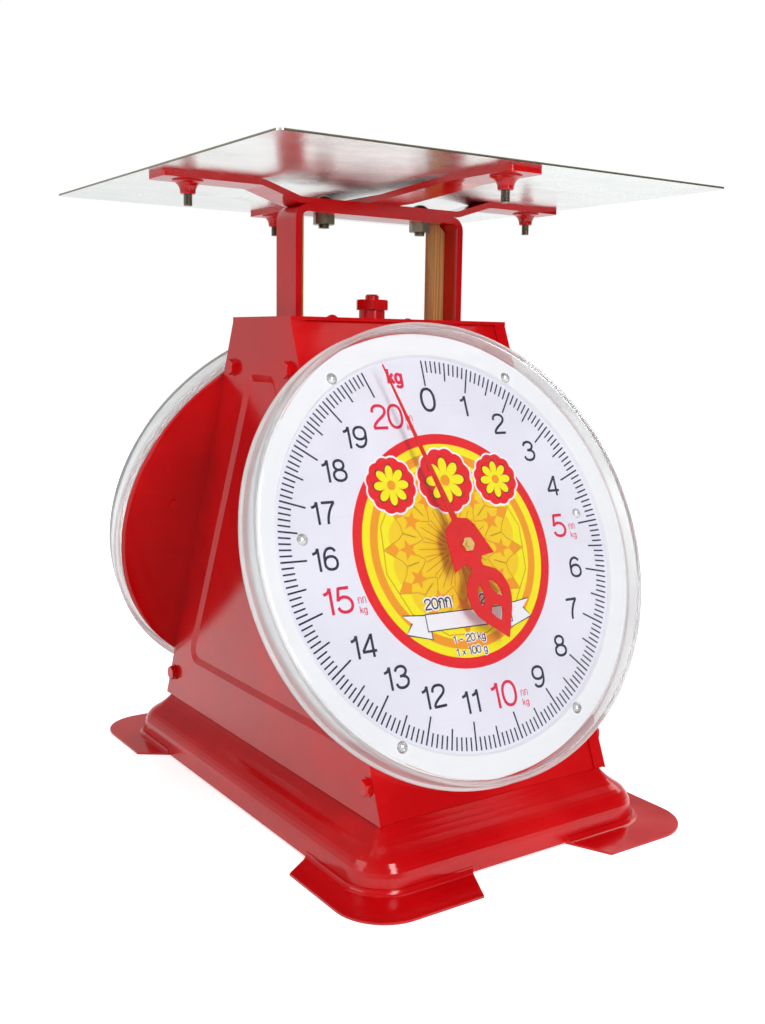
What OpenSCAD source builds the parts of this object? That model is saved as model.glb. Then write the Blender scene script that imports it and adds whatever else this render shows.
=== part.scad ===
// Spring scale with a dial on each side, a square platter and a sloping sheet casing.
// Millimetres, z = 0 on the table, x to the right, the front dial faces -y.

/* [Part] */
// Node to draw, or all

/* [Casing] */
// Width of the casing at its top
casing_top_w = 148; // [120:1:180]
// Width of the casing at its foot
casing_bottom_w = 154; // [124:1:190]
// Depth of the casing at its top
casing_top_d = 65.6; // [50:0.2:90]
// Depth of the casing at its foot
casing_bottom_d = 260; // [200:1:300]
// Height of the casing above the deck
casing_h = 250; // [200:1:300]
// Thickness of the painted sheet
sheet_t = 1.2; // [0.8:0.1:2]
// Width of the bent edge of a side panel
flange_w = 8; // [5:0.5:12]
// Thickness of the top plate
top_t = 2; // [1.5:0.1:3]
// Overhang of the top plate past the sloping panels
top_overhang = 0.3; // [0:0.1:2]
// Depth of the pressed recess in the side panels
recess_d = 1.5; // [0.5:0.1:3]

/* [Base] */
// Height of the deck above the table
deck_z = 28.2; // [20:0.2:40]
// Depth of the casing past the deck edge on each side
deck_inset = 2; // [1:0.5:4]
// Corner radius of the deck
deck_r = 3; // [1:0.5:8]
// Reach of the flared skirt at its foot
skirt_reach = 19.8; // [12:0.2:30]
// Half width over the feet
foot_half_x = 111; // [100:1:130]
// Half depth over the feet
foot_half_y = 170; // [150:1:190]
// Corner radius of the feet
foot_r = 27; // [15:1:35]

/* [Dials] */
// Height at which the pointer axis meets the casing slope
dial_z = 152.6; // [145:0.2:160]
// Radius of the back pan
pan_r = 124.5; // [110:0.5:130]
// Radius of the printed dial sheet
plate_r = 123.4; // [105:0.1:128]
// Inner radius of the raised band
band_r = 110.5; // [95:0.5:118]
// Outer radius of the clear cover
cover_r = 127; // [115:0.5:132]
// Radius of the lip of the cover
lip_r = 128.6; // [116:0.2:134]
// Distance of the dial screws in from the sides of the casing top
screw_inset = 14.4; // [10:0.1:30]
// Radius of the circle of cross-head screws
screw_circle = 114; // [100:0.5:118]
// Angle of the face rivets from the vertical
stud_ang = 82; // [60:1:88]
// Radius of the circle of face rivets
stud_circle = 94.5; // [80:0.5:100]
// Angle of the pointer at rest, clockwise from the top
pointer_ang = -17; // [-30:0.5:10]
// Length of the pointer from the axis to its tip
pointer_len = 107; // [90:1:110]
// Length of the tail of the pointer
tail_len = 55; // [45:1:60]

/* [Platform] */
// Side of the square platter
platter_w = 280; // [240:1:320]
// Thickness of the platter sheet
platter_t = 1; // [0.8:0.1:2]
// Height of the top of the platter
platter_z = 352; // [340:1:365]
// Width of the cross arms and of the yoke
arm_w = 22; // [18:1:28]
// Thickness of the cross arms
arm_t = 3.5; // [3:0.1:5]
// Corner radius of the arm ends
arm_r = 3; // [1:0.5:6]
// Reach of the cross arms from the middle
arm_reach = 135; // [125:1:140]
// Space between a yoke leg and the side of the casing top
yoke_clear = 16; // [14:1:24]
// Thickness of the yoke bar
yoke_t = 4; // [3:0.1:5]
// Outer bend radius of the yoke
yoke_r = 8; // [6:0.5:12]
// Height of the lower ends of the yoke legs
leg_z = 88; // [80:1:110]

/* [Movement] */
// Travel of the platform at full load
travel = 24; // [18:0.5:24]
// Gear module
gear_m = 0.6; // [0.5:0.05:0.7]
// Teeth of the pinion
gear_teeth = 12; // [12:1:14]
// Backlash shared by rack and pinion
backlash = 0.12; // [0.08:0.01:0.2]
// Radius of the pointer shafts
shaft_r = 2; // [1.5:0.1:2.5]
// Radial running clearance of the shafts
run_clear = 0.05; // [0.02:0.01:0.1]
// Wire diameter of the springs
wire_d = 2.5; // [2:0.1:2.8]
// Mean diameter of the springs
coil_d = 18; // [14:0.5:20]
// Curls of each spring
coil_n = 16; // [10:1:18]
// Distance of each spring from the middle
spring_x = 30; // [26:0.5:34]

/* [Hidden] */
$fn = 72;
z_top = deck_z + casing_h;
slope_k = (casing_bottom_d - casing_top_d) / 2 / casing_h;
tilt = atan(slope_k);
ct = cos(tilt);
st = sin(tilt);
lean_k = (casing_bottom_w - casing_top_w) / 2 / casing_h;
lean = atan(lean_k);
plate_z = z_top - top_t;
axis_y = casing_top_d / 2 + slope_k * (z_top - dial_z);
function half_w(z) = casing_top_w / 2 + lean_k * (z_top - z);
function half_d(z) = casing_top_d / 2 + slope_k * (z_top - z);
function z_of(s, w) = dial_z + s * ct + w * st;
function s_of(z, w) = (z - dial_z - w * st) / ct;
deck_x = casing_bottom_w / 2 - deck_inset;
deck_y = casing_bottom_d / 2 - deck_inset;
panel_w0 = -2 * sheet_t;
panel_w1 = -sheet_t;
seat_gap = 0.04;
arm_top = platter_z - platter_t;
arm_seat = arm_top - arm_t;
yoke_z = 340;
leg_x = casing_top_w / 2 - yoke_clear;
screw_ang = asin((casing_top_w / 2 - screw_inset) / screw_circle);
leg_in = leg_x - yoke_t;
stud_x = 117;
stud_y = 119;
bolt_x = 33.5;
strip_x = 8.5;
strip_y = 8;
strip_y0 = 2;
slot_gap = 1.2;
pitch_r = gear_m * gear_teeth / 2;
rack_pitch = gear_m * 180 / 180 * 3.14159265;
rack_back = 7.75;
rack_w0 = -33;
rack_w1 = -30;
beam_z0 = 158;
beam_z1 = 174;
beam_t = 4;
bar_z0 = 250;
bar_z1 = 266;
hook_r = 6;
hook_drop = 5.85;
link_hi_y = 36;
link_hi_z = 230;
link_lo_y = 56;
link_lo_z = 88;
ear_x = min(casing_top_w, casing_bottom_w) / 2 - 8;
link_x = ear_x - 6;
link_t = 3;
ear_t = 2.5;
link_shaft_r = 3;
angle_t = 1.5;
pin_r = 2.5;
red = [0.74, 0.02, 0.03];
steel = [0.62, 0.63, 0.65];
brass = [0.72, 0.57, 0.24];
dark = [0.25, 0.25, 0.27];

// shared shapes

// places children in the frame of the front dial: x right, y up the slope, z outward
module dial_frame() {
  translate([0, -axis_y, dial_z]) rotate([90 - tilt, 0, 0]) children();
}

// turns children to the rear side
module to_rear() {
  rotate([0, 0, 180]) children();
}

// places children on the outer face of the right side panel: x outward, z up the face
module side_frame() {
  translate([casing_bottom_w / 2, 0, deck_z]) rotate([0, -lean, 0]) children();
}

// height along the side face for a height above the table
function side_h(z) = (z - deck_z) / cos(lean);

function dial_xy(a, r) = [r * sin(a), r * cos(a)];

function cap_r(r, h) = (r * r + h * h) / (2 * h);

// low dome of radius r and height h on z = 0
module dome(r, h) {
  intersection() {
    translate([0, 0, h - cap_r(r, h)]) sphere(r = cap_r(r, h));
    translate([-r - 1, -r - 1, 0]) cube([2 * r + 2, 2 * r + 2, h + 1]);
  }
}

// bar with a square section, used for a cross slot in a screw head
module cross_cut(len, wide, deep) {
  translate([-len / 2, -wide / 2, 0]) cube([len, wide, deep]);
  translate([-wide / 2, -len / 2, 0]) cube([wide, len, deep]);
}

// tube along z
module tube(ro, ri, z0, z1) {
  difference() {
    translate([0, 0, z0]) cylinder(r = ro, h = z1 - z0);
    translate([0, 0, z0 - 1]) cylinder(r = ri, h = z1 - z0 + 2);
  }
}

// rod along z with thread grooves up to z1 and a plain shank to z2
module screw_rod(r, pitch, z0, z1, z2) {
  n = floor((z1 - z0) / pitch);
  d = pitch * 0.45;
  rotate_extrude($fn = 32) polygon(concat([[0, z0], [r - d, z0]],
    [for (i = [0:n - 1]) each [[r, z0 + pitch * (i + 0.4)], [r, z0 + pitch * (i + 0.6)], [r - d, z0 + pitch * (i + 1)]]],
    [[r, z0 + pitch * (n + 0.4)], [r, z2], [0, z2]]));
}

// hexagon nut on z = 0 with chamfered corners
module hex_nut(af, h, bore) {
  difference() {
    intersection() {
      cylinder(r = af / 2 / cos(30), h = h, $fn = 6);
      hex_round(af / 2 / cos(30), h);
    }
    translate([0, 0, -1]) cylinder(r = bore, h = h + 2);
  }
}

module hex_round(r, h) {
  c = r * 0.1;
  rotate_extrude() polygon([[0, 0], [r - c, 0], [r, c * 0.6], [r, h - c * 0.6], [r - c, h], [0, h]]);
}

// hexagon head on z = 0, chamfered on top only
module hex_head(af, h) {
  r = af / 2 / cos(30);
  intersection() {
    cylinder(r = r, h = h, $fn = 6);
    rotate_extrude() polygon([[0, 0], [r, 0], [r, h - r * 0.07], [r * 0.88, h], [0, h]]);
  }
}

// base

arc1_r = 44.3 * skirt_reach / 20.36;
arc2_r = 13.9 * skirt_reach / 20.36;
sk_x1 = arc1_r * (sin(48.66) - sin(28.66));
sk_z1 = deck_z - 44.3 * (cos(28.66) - cos(48.66));
sk_x2 = sk_x1 + arc2_r * (sin(80) - sin(28.66));
sk_z2 = sk_z1 - 13.9 * (cos(28.66) - cos(80));
sk_end = sheet_t;
function sk_upper(a) = [arc1_r * (sin(48.66) - sin(a)), deck_z - 44.3 * (cos(a) - cos(48.66))];
function sk_lower(a) = [sk_x1 + arc2_r * (sin(a) - sin(28.66)), sk_z1 - 13.9 * (cos(28.66) - cos(a))];
function sk_in(p, a) = [p[0] - sheet_t * sin(a), p[1] - sheet_t * cos(a)];
sk_ang1 = [48.66, 43.66, 38.66, 33.66];
sk_ang2 = [28.66, 40, 50, 60, 70, 80];
sk_outer = concat([for (a = sk_ang1) sk_upper(a)], [for (a = sk_ang2) sk_lower(a)],
  [[skirt_reach, sk_end]]);
sk_inner = concat([for (a = sk_ang1) sk_in(sk_upper(a), a)], [for (a = sk_ang2) sk_in(sk_lower(a), a)],
  [[skirt_reach - sheet_t, sk_end]]);
sk_n = len(sk_inner);
sk_shape = concat(sk_outer, [for (i = [sk_n - 1:-1:0]) sk_inner[i]]);

// section of the hollow fillet where the skirt meets a foot
fillet_r = 3;
fillet_shape = concat([[skirt_reach, sheet_t]],
  [for (a = [270:-15:180]) [skirt_reach + fillet_r * (1 + cos(a)), sheet_t + fillet_r * (1 + sin(a))]],
  [[skirt_reach - 0.28, sheet_t + fillet_r]]);

module skirt_side(len, shape) {
  rotate([90, 0, 90]) translate([0, 0, -len / 2]) linear_extrude(height = len)
    translate([deck_r, 0]) polygon(shape);
}

module skirt_corner(shape) {
  rotate_extrude(angle = 90) translate([deck_r, 0]) polygon(shape);
}

// section carried round the edge of the deck
module skirt_loop(shape) {
  cx = deck_x - deck_r;
  cy = deck_y - deck_r;
  for (a = [0, 180]) {
    rotate([0, 0, a]) translate([0, cy, 0]) skirt_side(2 * cx, shape);
    rotate([0, 0, a]) translate([cx, 0, 0]) rotate([0, 0, -90]) skirt_side(2 * cy, shape);
    rotate([0, 0, a]) translate([cx, cy, 0]) skirt_corner(shape);
    rotate([0, 0, a]) translate([-cx, cy, 0]) rotate([0, 0, 90]) skirt_corner(shape);
  }
}

module round_slab(hx, hy, r, z0, z1) {
  translate([-hx + r, -hy, z0]) cube([2 * hx - 2 * r, 2 * hy, z1 - z0]);
  translate([-hx, -hy + r, z0]) cube([2 * hx, 2 * hy - 2 * r, z1 - z0]);
  for (x = [-1, 1]) {
    for (y = [-1, 1]) {
      translate([x * (hx - r), y * (hy - r), z0]) cylinder(r = r, h = z1 - z0);
    }
  }
}

module base_feet() {
  in_x = deck_x + skirt_reach - sheet_t;
  in_y = deck_y + skirt_reach - sheet_t;
  y0 = in_y - 2;
  y1 = foot_half_y + 2;
  x0 = in_x - 2;
  x1 = foot_half_x + 2;
  color(red) difference() {
    union() {
      difference() {
        round_slab(foot_half_x, foot_half_y, foot_r, 0, sheet_t);
        translate([0, 0, -1]) round_slab(in_x, in_y, deck_r + skirt_reach - sheet_t, 0, sheet_t + 2);
      }
      skirt_loop(fillet_shape);
    }
    for (a = [0, 180]) {
      rotate([0, 0, a]) translate([0, 0, -1]) linear_extrude(height = sheet_t + 7)
        polygon([[-31, y0], [31, y0], [44, y1], [-44, y1]]);
      rotate([0, 0, a]) translate([0, 0, -1]) linear_extrude(height = sheet_t + 7)
        polygon([[x0, -86], [x1, -101], [x1, 101], [x0, 86]]);
    }
  }
}

module base_pan() {
  color(red) union() {
    round_slab(deck_x, deck_y, deck_r, deck_z - sheet_t, deck_z);
    skirt_loop(sk_shape);
  }
}

// casing

side_top_z = plate_z;
side_low_z = deck_z + 0.3;
screw_hi = [32.5, 249.6];
screw_lo = [117, 45.1];

// outline points of the pressed recess, taken in by d, with round corners
rec_h0 = side_h(59);
rec_h1 = side_h(246);
rec_y0 = 96;
rec_y1 = 15;
rec_k = (rec_y0 - rec_y1) / (rec_h1 - rec_h0);
rec_a = atan(rec_k);
function rec_half(h, d) = rec_y0 - (h - rec_h0) * rec_k - d / cos(rec_a);
function rec_arc(c, r, a0, a1) = [for (i = [0:4]) [c[0] + r * cos(a0 + (a1 - a0) * i / 4), c[1] + r * sin(a0 + (a1 - a0) * i / 4)]];
function rec_half_pts(d, r) = concat(
  rec_arc([rec_half(rec_h0 + d + r, d + r), rec_h0 + d + r], r, -90, rec_a),
  rec_arc([rec_half(rec_h1 - d - r, d + r), rec_h1 - d - r], r, rec_a, 90));
function rec_pts(d, r) = concat(rec_half_pts(d, r),
  [for (i = [9:-1:0]) [-rec_half_pts(d, r)[i][0], rec_half_pts(d, r)[i][1]]]);

module recess_slab(d, r, x) {
  rotate([90, 0, 90]) translate([0, 0, x]) linear_extrude(height = 0.02) polygon(rec_pts(d, r));
}

module recess_body(x) {
  hull() {
    recess_slab(0, 8, x);
    recess_slab(4, 5, x - recess_d);
  }
}

module side_hole(y, z, r) {
  side_frame() translate([-8, y, side_h(z)]) rotate([0, 90, 0]) cylinder(r = r, h = 12, $fn = 32);
}

module side_flange() {
  s0 = s_of(side_low_z, -sheet_t);
  s1 = s_of(side_top_z, 0);
  x0 = half_w(side_low_z);
  x1 = half_w(side_top_z);
  dial_frame() translate([0, 0, -sheet_t]) linear_extrude(height = sheet_t)
    polygon([[x0 - flange_w, s0], [x0 - 0.3, s0], [x1 - 0.3, s1], [x1 - flange_w, s1]]);
}

module side_panel_solid() {
  h0 = side_h(side_low_z);
  h1 = side_h(side_top_z);
  y0 = half_d(side_low_z);
  y1 = half_d(side_top_z);
  difference() {
    union() {
      side_frame() difference() {
        union() {
          rotate([90, 0, 90]) translate([0, 0, -sheet_t]) linear_extrude(height = sheet_t)
            polygon([[-y0, h0], [y0, h0], [y1, h1], [-y1, h1]]);
          recess_body(-sheet_t);
        }
        recess_body(0);
      }
      side_flange();
      mirror([0, 1, 0]) side_flange();
    }
    for (y = [-1, 1]) {
      side_hole(y * screw_hi[0], screw_hi[1], 2.15);
      side_hole(y * screw_lo[0], screw_lo[1], 2.15);
    }
  }
}

module side_panel_right() {
  color(red) side_panel_solid();
}

module side_panel_left() {
  color(red) mirror([1, 0, 0]) side_panel_solid();
}

module sloping_panel() {
  s0 = s_of(deck_z + seat_gap, panel_w0);
  s1 = s_of(plate_z - seat_gap, panel_w1);
  x0 = half_w(deck_z) - sheet_t - 0.1;
  x1 = half_w(plate_z) - sheet_t - 0.1;
  dial_frame() difference() {
    translate([0, 0, panel_w0]) linear_extrude(height = sheet_t)
      polygon([[-x0, s0], [x0, s0], [x1, s1], [-x1, s1]]);
    translate([0, 0, -5]) cylinder(r = 4.02, h = 6);
    dial_screw_holes(1.9);
    for (s = [-12, 12]) {
      translate([-26, s, -5]) cylinder(r = 1.55, h = 6, $fn = 32);
    }
  }
}

module front_panel() {
  color(red) sloping_panel();
}

module rear_panel() {
  color(red) to_rear() sloping_panel();
}

module base_angle() {
  h1 = side_h(deck_z + 27);
  gap = 3.4;
  difference() {
    union() {
      side_frame() rotate([90, 0, 90]) translate([0, 0, -2.7]) linear_extrude(height = 1.5)
        polygon([[-half_d(deck_z) + gap, 0.3], [half_d(deck_z) - gap, 0.3],
          [half_d(deck_z + 27) - gap, h1], [-half_d(deck_z + 27) + gap, h1]]);
      translate([half_w(deck_z) - 17, -half_d(deck_z) + gap + 1, deck_z])
        cube([15, 2 * half_d(deck_z) - 2 * gap - 2, angle_t]);
    }
    for (y = [-1, 1]) {
      side_hole(y * screw_lo[0], screw_lo[1], 2.12);
    }
  }
}

module base_angles() {
  color(red) {
    base_angle();
    mirror([1, 0, 0]) base_angle();
  }
}

// ear of the top plate behind a side panel, cut back to clear the sloping panel
module top_ear() {
  h0 = side_h(241);
  h1 = side_h(251);
  h2 = side_h(plate_z + 0.5);
  y1 = half_d(251) - 3.4;
  y2 = half_d(plate_z + 0.5) - 3.4;
  side_frame() rotate([90, 0, 90]) translate([0, 0, -2.7]) linear_extrude(height = 1.5)
    polygon([[24, h0], [y1, h0], [y1, h1], [y2, h2], [24, h2]]);
}

module leg_slots(z0, z1) {
  for (x = [-1, 1]) {
    translate([x * (leg_x - yoke_t / 2) - yoke_t / 2 - slot_gap, -arm_w / 2 - slot_gap, z0])
      cube([yoke_t + 2 * slot_gap, arm_w + 2 * slot_gap, z1 - z0]);
    translate([x * (leg_in - strip_x / 2) - strip_x / 2 - 1, strip_y0 - 1, z0])
      cube([strip_x + 2, strip_y + 2, z1 - z0]);
  }
}

module top_plate() {
  hy = half_d(plate_z) + top_overhang;
  color(red) difference() {
    union() {
      translate([-casing_top_w / 2, -hy, plate_z]) cube([casing_top_w, 2 * hy, top_t]);
      for (m = [0, 1]) {
        mirror([m, 0, 0]) {
          top_ear();
          mirror([0, 1, 0]) top_ear();
        }
      }
    }
    leg_slots(plate_z - 5, z_top + 5);
    translate([0, 0, plate_z - 5]) cylinder(r = 4.5, h = 12);
    translate([36, 14, plate_z - 5]) cylinder(r = 2.05, h = 12, $fn = 32);
    translate([-36, -14, plate_z - 5]) cylinder(r = 2.05, h = 12, $fn = 32);
    for (m = [0, 1]) {
      mirror([m, 0, 0]) {
        side_hole(screw_hi[0], screw_hi[1], 2.12);
        side_hole(-screw_hi[0], screw_hi[1], 2.12);
      }
    }
  }
}

module panel_screw(y, z) {
  side_frame() translate([0, y, side_h(z)]) rotate([0, 90, 0]) {
    hex_head(8, 3.4);
    cylinder(r = 5, h = 0.9, $fn = 48);
    translate([0, 0, -5]) cylinder(r = 2.1, h = 5.5, $fn = 32);
  }
}

module panel_screws() {
  color(red) for (m = [0, 1]) {
    mirror([m, 0, 0]) {
      for (y = [-1, 1]) {
        panel_screw(y * screw_hi[0], screw_hi[1]);
        panel_screw(y * screw_lo[0], screw_lo[1]);
      }
    }
  }
}

module top_rivets() {
  color(red) for (a = [0, 180]) {
    rotate([0, 0, a]) translate([36, 14, 0]) {
      translate([0, 0, z_top]) dome(3.5, 2);
      translate([0, 0, plate_z - 2.2]) cylinder(r = 2, h = 4.3, $fn = 32);
      translate([0, 0, plate_z - 3.2]) cylinder(r = 3.2, h = 1.2, $fn = 32);
    }
  }
}

module zero_collar() {
  color(red) tube(7.65, 4.4, z_top, z_top + 5.4);
}

// dials

module dial_screw_holes(r) {
  for (a = [screw_ang, -screw_ang, 180 - screw_ang, 180 + screw_ang]) {
    translate([dial_xy(a, screw_circle)[0], dial_xy(a, screw_circle)[1], -6]) cylinder(r = r, h = 16, $fn = 32);
  }
}

module face_rivet_holes(r) {
  for (a = [stud_ang, -stud_ang]) {
    translate([dial_xy(a, stud_circle)[0], dial_xy(a, stud_circle)[1], -6]) cylinder(r = r, h = 16, $fn = 32);
  }
}

// section of the back pan with a rounded turn-up
pan_round = 2;
pan_t = 0.8;
pan_shape = concat([[0, 0]],
  [for (a = [-90:22.5:0]) [pan_r - pan_round + pan_round * cos(a), pan_round + pan_round * sin(a)]],
  [[pan_r, 3.4], [pan_r - pan_t, 3.4]],
  [for (a = [0:-22.5:-90]) [pan_r - pan_round + (pan_round - pan_t) * cos(a), pan_round + (pan_round - pan_t) * sin(a)]],
  [[0, pan_t]]);

module back_pan_solid() {
  dial_frame() difference() {
    rotate_extrude($fn = 144) polygon(pan_shape);
    translate([0, 0, -1]) cylinder(r = 4.6, h = 4);
    dial_screw_holes(1.9);
    face_rivet_holes(1.55);
  }
}

module front_back_pan() {
  color(red) back_pan_solid();
}

module rear_back_pan() {
  color(red) to_rear() back_pan_solid();
}

plate_shape = [[3, 3.2], [band_r - 0.2, 3.2], [band_r + 1, 5.2], [plate_r - 0.8, 5.2], [plate_r - 0.8, 2],
  [plate_r, 2], [plate_r, 5.6], [plate_r - 0.4, 6], [band_r + 0.5, 6], [band_r - 0.7, 4], [3, 4]];

module dial_plate_solid() {
  dial_frame() difference() {
    rotate_extrude($fn = 144) polygon(plate_shape);
    dial_screw_holes(1.9);
    face_rivet_holes(1.55);
  }
}

module front_dial_plate() {
  color([0.93, 0.92, 0.96]) dial_plate_solid();
}

module rear_dial_plate() {
  color([0.93, 0.92, 0.96]) to_rear() dial_plate_solid();
}

cover_top = 20.4;
cover_t = 2;
cover_bulge = 4;
cover_in = pan_r + 0.1;
function bulge(r) = cover_bulge * r * r / cover_r / cover_r;
cover_rings = [118, 104, 88, 70, 50, 28, 0];
cover_shape = concat(
  [[cover_in, 0.6], [cover_r, 0.6], [cover_r, 1.5], [lip_r, 1.5], [lip_r, 3.5], [cover_r, 3.5],
    [cover_r, cover_top - cover_bulge - 1.6], [cover_r - 0.5, cover_top - cover_bulge - 0.6],
    [cover_r - 1.6, cover_top - cover_bulge]],
  [for (r = cover_rings) [r, cover_top - bulge(r)]],
  [for (i = [6:-1:0]) [cover_rings[i], cover_top - cover_t - bulge(cover_rings[i])]],
  [[cover_in - 1.2, cover_top - cover_t - cover_bulge + 0.1], [cover_in, cover_top - cover_t - cover_bulge - 1.2]]);

module cover_solid() {
  dial_frame() rotate_extrude($fn = 144) polygon(cover_shape);
}

module front_cover() {
  color([0.9, 0.93, 0.96, 0.3]) cover_solid();
}

module rear_cover() {
  color([0.9, 0.93, 0.96, 0.3]) to_rear() cover_solid();
}

module dial_screw() {
  difference() {
    union() {
      translate([0, 0, 6]) dome(3.25, 2);
      translate([0, 0, -6]) cylinder(r = 1.75, h = 12.2, $fn = 32);
    }
    translate([0, 0, 7.1]) cross_cut(3.4, 0.8, 2);
  }
}

module dial_screws_solid() {
  dial_frame() for (a = [screw_ang, -screw_ang, 180 - screw_ang, 180 + screw_ang]) {
    translate([dial_xy(a, screw_circle)[0], dial_xy(a, screw_circle)[1], 0]) rotate([0, 0, 20 - a * 1.7]) dial_screw();
  }
}

module front_dial_screws() {
  color(steel) dial_screws_solid();
}

module rear_dial_screws() {
  color(steel) to_rear() dial_screws_solid();
}

module dial_hardware_solid() {
  dial_frame() for (a = [screw_ang, -screw_ang, 180 - screw_ang, 180 + screw_ang]) {
    translate([dial_xy(a, screw_circle)[0], dial_xy(a, screw_circle)[1], 0]) {
      tube(2.45, 1.85, 0.8, 5.2);
      tube(4, 1.85, -sheet_t, 0);
      translate([0, 0, panel_w0 - 2.4]) hex_nut(6, 2.4, 1.78);
    }
  }
}

module front_dial_hardware() {
  color(steel) dial_hardware_solid();
}

module rear_dial_hardware() {
  color(steel) to_rear() dial_hardware_solid();
}

module face_rivet(cut) {
  difference() {
    union() {
      translate([0, 0, -0.8]) cylinder(r = 2.8, h = 0.8, $fn = 32);
      translate([0, 0, -0.4]) cylinder(r = 1.5, h = 4.8, $fn = 32);
      translate([0, 0, 0.8]) cylinder(r = 2.6, h = 2.4, $fn = 32);
      translate([0, 0, 4]) dome(3.2, 1.7);
    }
    if (cut) {
      translate([0, 0, 4.9]) cross_cut(3, 0.8, 2);
    }
  }
}

module face_rivets_solid() {
  dial_frame() {
    translate([dial_xy(stud_ang, stud_circle)[0], dial_xy(stud_ang, stud_circle)[1], 0]) rotate([0, 0, 25]) face_rivet(true);
    translate([dial_xy(-stud_ang, stud_circle)[0], dial_xy(-stud_ang, stud_circle)[1], 0]) face_rivet(false);
  }
}

module front_face_rivets() {
  color(steel) face_rivets_solid();
}

module rear_face_rivets() {
  color(steel) to_rear() face_rivets_solid();
}

// movement

module bracket_solid() {
  dial_frame() difference() {
    union() {
      translate([-18, -20, -52]) cube([23.5, 40, 2]);
      translate([-18, -20, -52]) cube([2, 40, 52 + panel_w0]);
      translate([-34, -20, panel_w0 - 2]) cube([18, 40, 2]);
    }
    translate([0, 0, -60]) cylinder(r = 4.02, h = 20);
    for (s = [-12, 12]) {
      translate([-26, s, panel_w0 - 4]) cylinder(r = 1.55, h = 6, $fn = 32);
    }
  }
}

module front_movement_bracket() {
  color(steel) bracket_solid();
}

module rear_movement_bracket() {
  color(steel) to_rear() bracket_solid();
}

module bracket_rivet_pair() {
  dial_frame() for (s = [-12, 12]) {
    translate([-26, s, 0]) {
      translate([0, 0, panel_w1]) dome(2.6, 0.8);
      translate([0, 0, panel_w0 - 2.4]) cylinder(r = 1.5, h = sheet_t + 2.5, $fn = 32);
      translate([0, 0, panel_w0 - 2.9]) cylinder(r = 2.4, h = 0.9, $fn = 32);
    }
  }
}

module bracket_rivets() {
  color(steel) {
    bracket_rivet_pair();
    to_rear() bracket_rivet_pair();
  }
}

module bush_pair() {
  dial_frame() {
    difference() {
      union() {
        translate([0, 0, -5.4]) cylinder(r = 4, h = 5.2);
        translate([0, 0, panel_w0 - 1.5]) cylinder(r = 6, h = 1.5);
      }
      translate([0, 0, -8]) cylinder(r = shaft_r + run_clear, h = 12);
    }
    difference() {
      union() {
        translate([0, 0, -53.5]) cylinder(r = 4, h = 7.5);
        translate([0, 0, -50]) cylinder(r = 6, h = 1.5);
      }
      translate([0, 0, -56]) cylinder(r = shaft_r + run_clear, h = 12);
    }
  }
}

module shaft_bushes() {
  color(brass) {
    bush_pair();
    to_rear() bush_pair();
  }
}

module shaft_solid() {
  dial_frame() {
    translate([0, 0, -55]) cylinder(r = shaft_r, h = 72.3, $fn = 48);
    translate([0, 0, 10.9]) cylinder(r = 3.4, h = 2.8, $fn = 48);
    translate([0, 0, -45.8]) cylinder(r = 3, h = 1.8, $fn = 48);
  }
}

module front_pointer_shaft() {
  color(brass) shaft_solid();
}

module rear_pointer_shaft() {
  color(brass) to_rear() shaft_solid();
}

base_r = pitch_r * cos(20);
tip_r = pitch_r + gear_m;
root_r = pitch_r - 0.9 * gear_m;
tooth_w = gear_m * 3.14159265 / 2 - backlash / 2;
psi_p = tooth_w / (2 * pitch_r) * 57.29578;
function inv_deg(a) = tan(a) * 57.29578 - a;
function psi(r) = psi_p + inv_deg(20) - inv_deg(acos(min(1, base_r / r)));
gear_rs = [for (i = [0:4]) base_r + (tip_r - base_r) * i / 4];
function polar(r, a) = [r * cos(a), r * sin(a)];
function tooth_pts(c) = concat([polar(root_r, c - psi(base_r))],
  [for (r = gear_rs) polar(r, c - psi(r))],
  [for (i = [4:-1:0]) polar(gear_rs[i], c + psi(gear_rs[i]))],
  [polar(root_r, c + psi(base_r))]);
gear_pts = [for (k = [0:gear_teeth - 1]) each tooth_pts((k + 0.5) * 360 / gear_teeth)];

module pinion_solid() {
  dial_frame() difference() {
    translate([0, 0, -44]) linear_extrude(height = 15) polygon(gear_pts);
    translate([0, 0, -46]) cylinder(r = shaft_r + 0.01, h = 20, $fn = 48);
  }
}

module front_pinion() {
  color(brass) pinion_solid();
}

module rear_pinion() {
  color(brass) to_rear() pinion_solid();
}

rack_tip = pitch_r - 0.65 * gear_m;
rack_root = pitch_r + 1.25 * gear_m;
rack_ht = tooth_w / 2 - 0.65 * gear_m * tan(20);
rack_hr = tooth_w / 2 + 1.25 * gear_m * tan(20);
rack_n1 = ceil((travel * ct + 5.6) / rack_pitch);
rack_s0 = -3 * rack_pitch - 1.35;
rack_s1 = rack_n1 * rack_pitch + 1.3;
rack_teeth_pts = [for (k = [-3:rack_n1]) each [[rack_root, k * rack_pitch - rack_hr],
  [rack_tip, k * rack_pitch - rack_ht], [rack_tip, k * rack_pitch + rack_ht],
  [rack_root, k * rack_pitch + rack_hr]]];
rack_pts = concat([[rack_back, rack_s0], [rack_root, rack_s0]], rack_teeth_pts,
  [[rack_root, rack_s1], [rack_back, rack_s1]]);
function carry_y(i) = -46 + 5.5 * i;
carry_z = 164.5;

module rack_solid() {
  difference() {
    dial_frame() {
      translate([0, 0, rack_w0]) linear_extrude(height = rack_w1 - rack_w0) polygon(rack_pts);
      translate([5.4, 19, -37]) cube([rack_back - 5.4, rack_s1 - 19, 11]);
    }
    for (i = [0, 1]) {
      translate([4, carry_y(i), carry_z]) rotate([0, 90, 0]) cylinder(r = 1.52, h = 6, $fn = 32);
    }
  }
}

module front_rack() {
  color(brass) rack_solid();
}

module rear_rack() {
  color(brass) to_rear() rack_solid();
}

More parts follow.
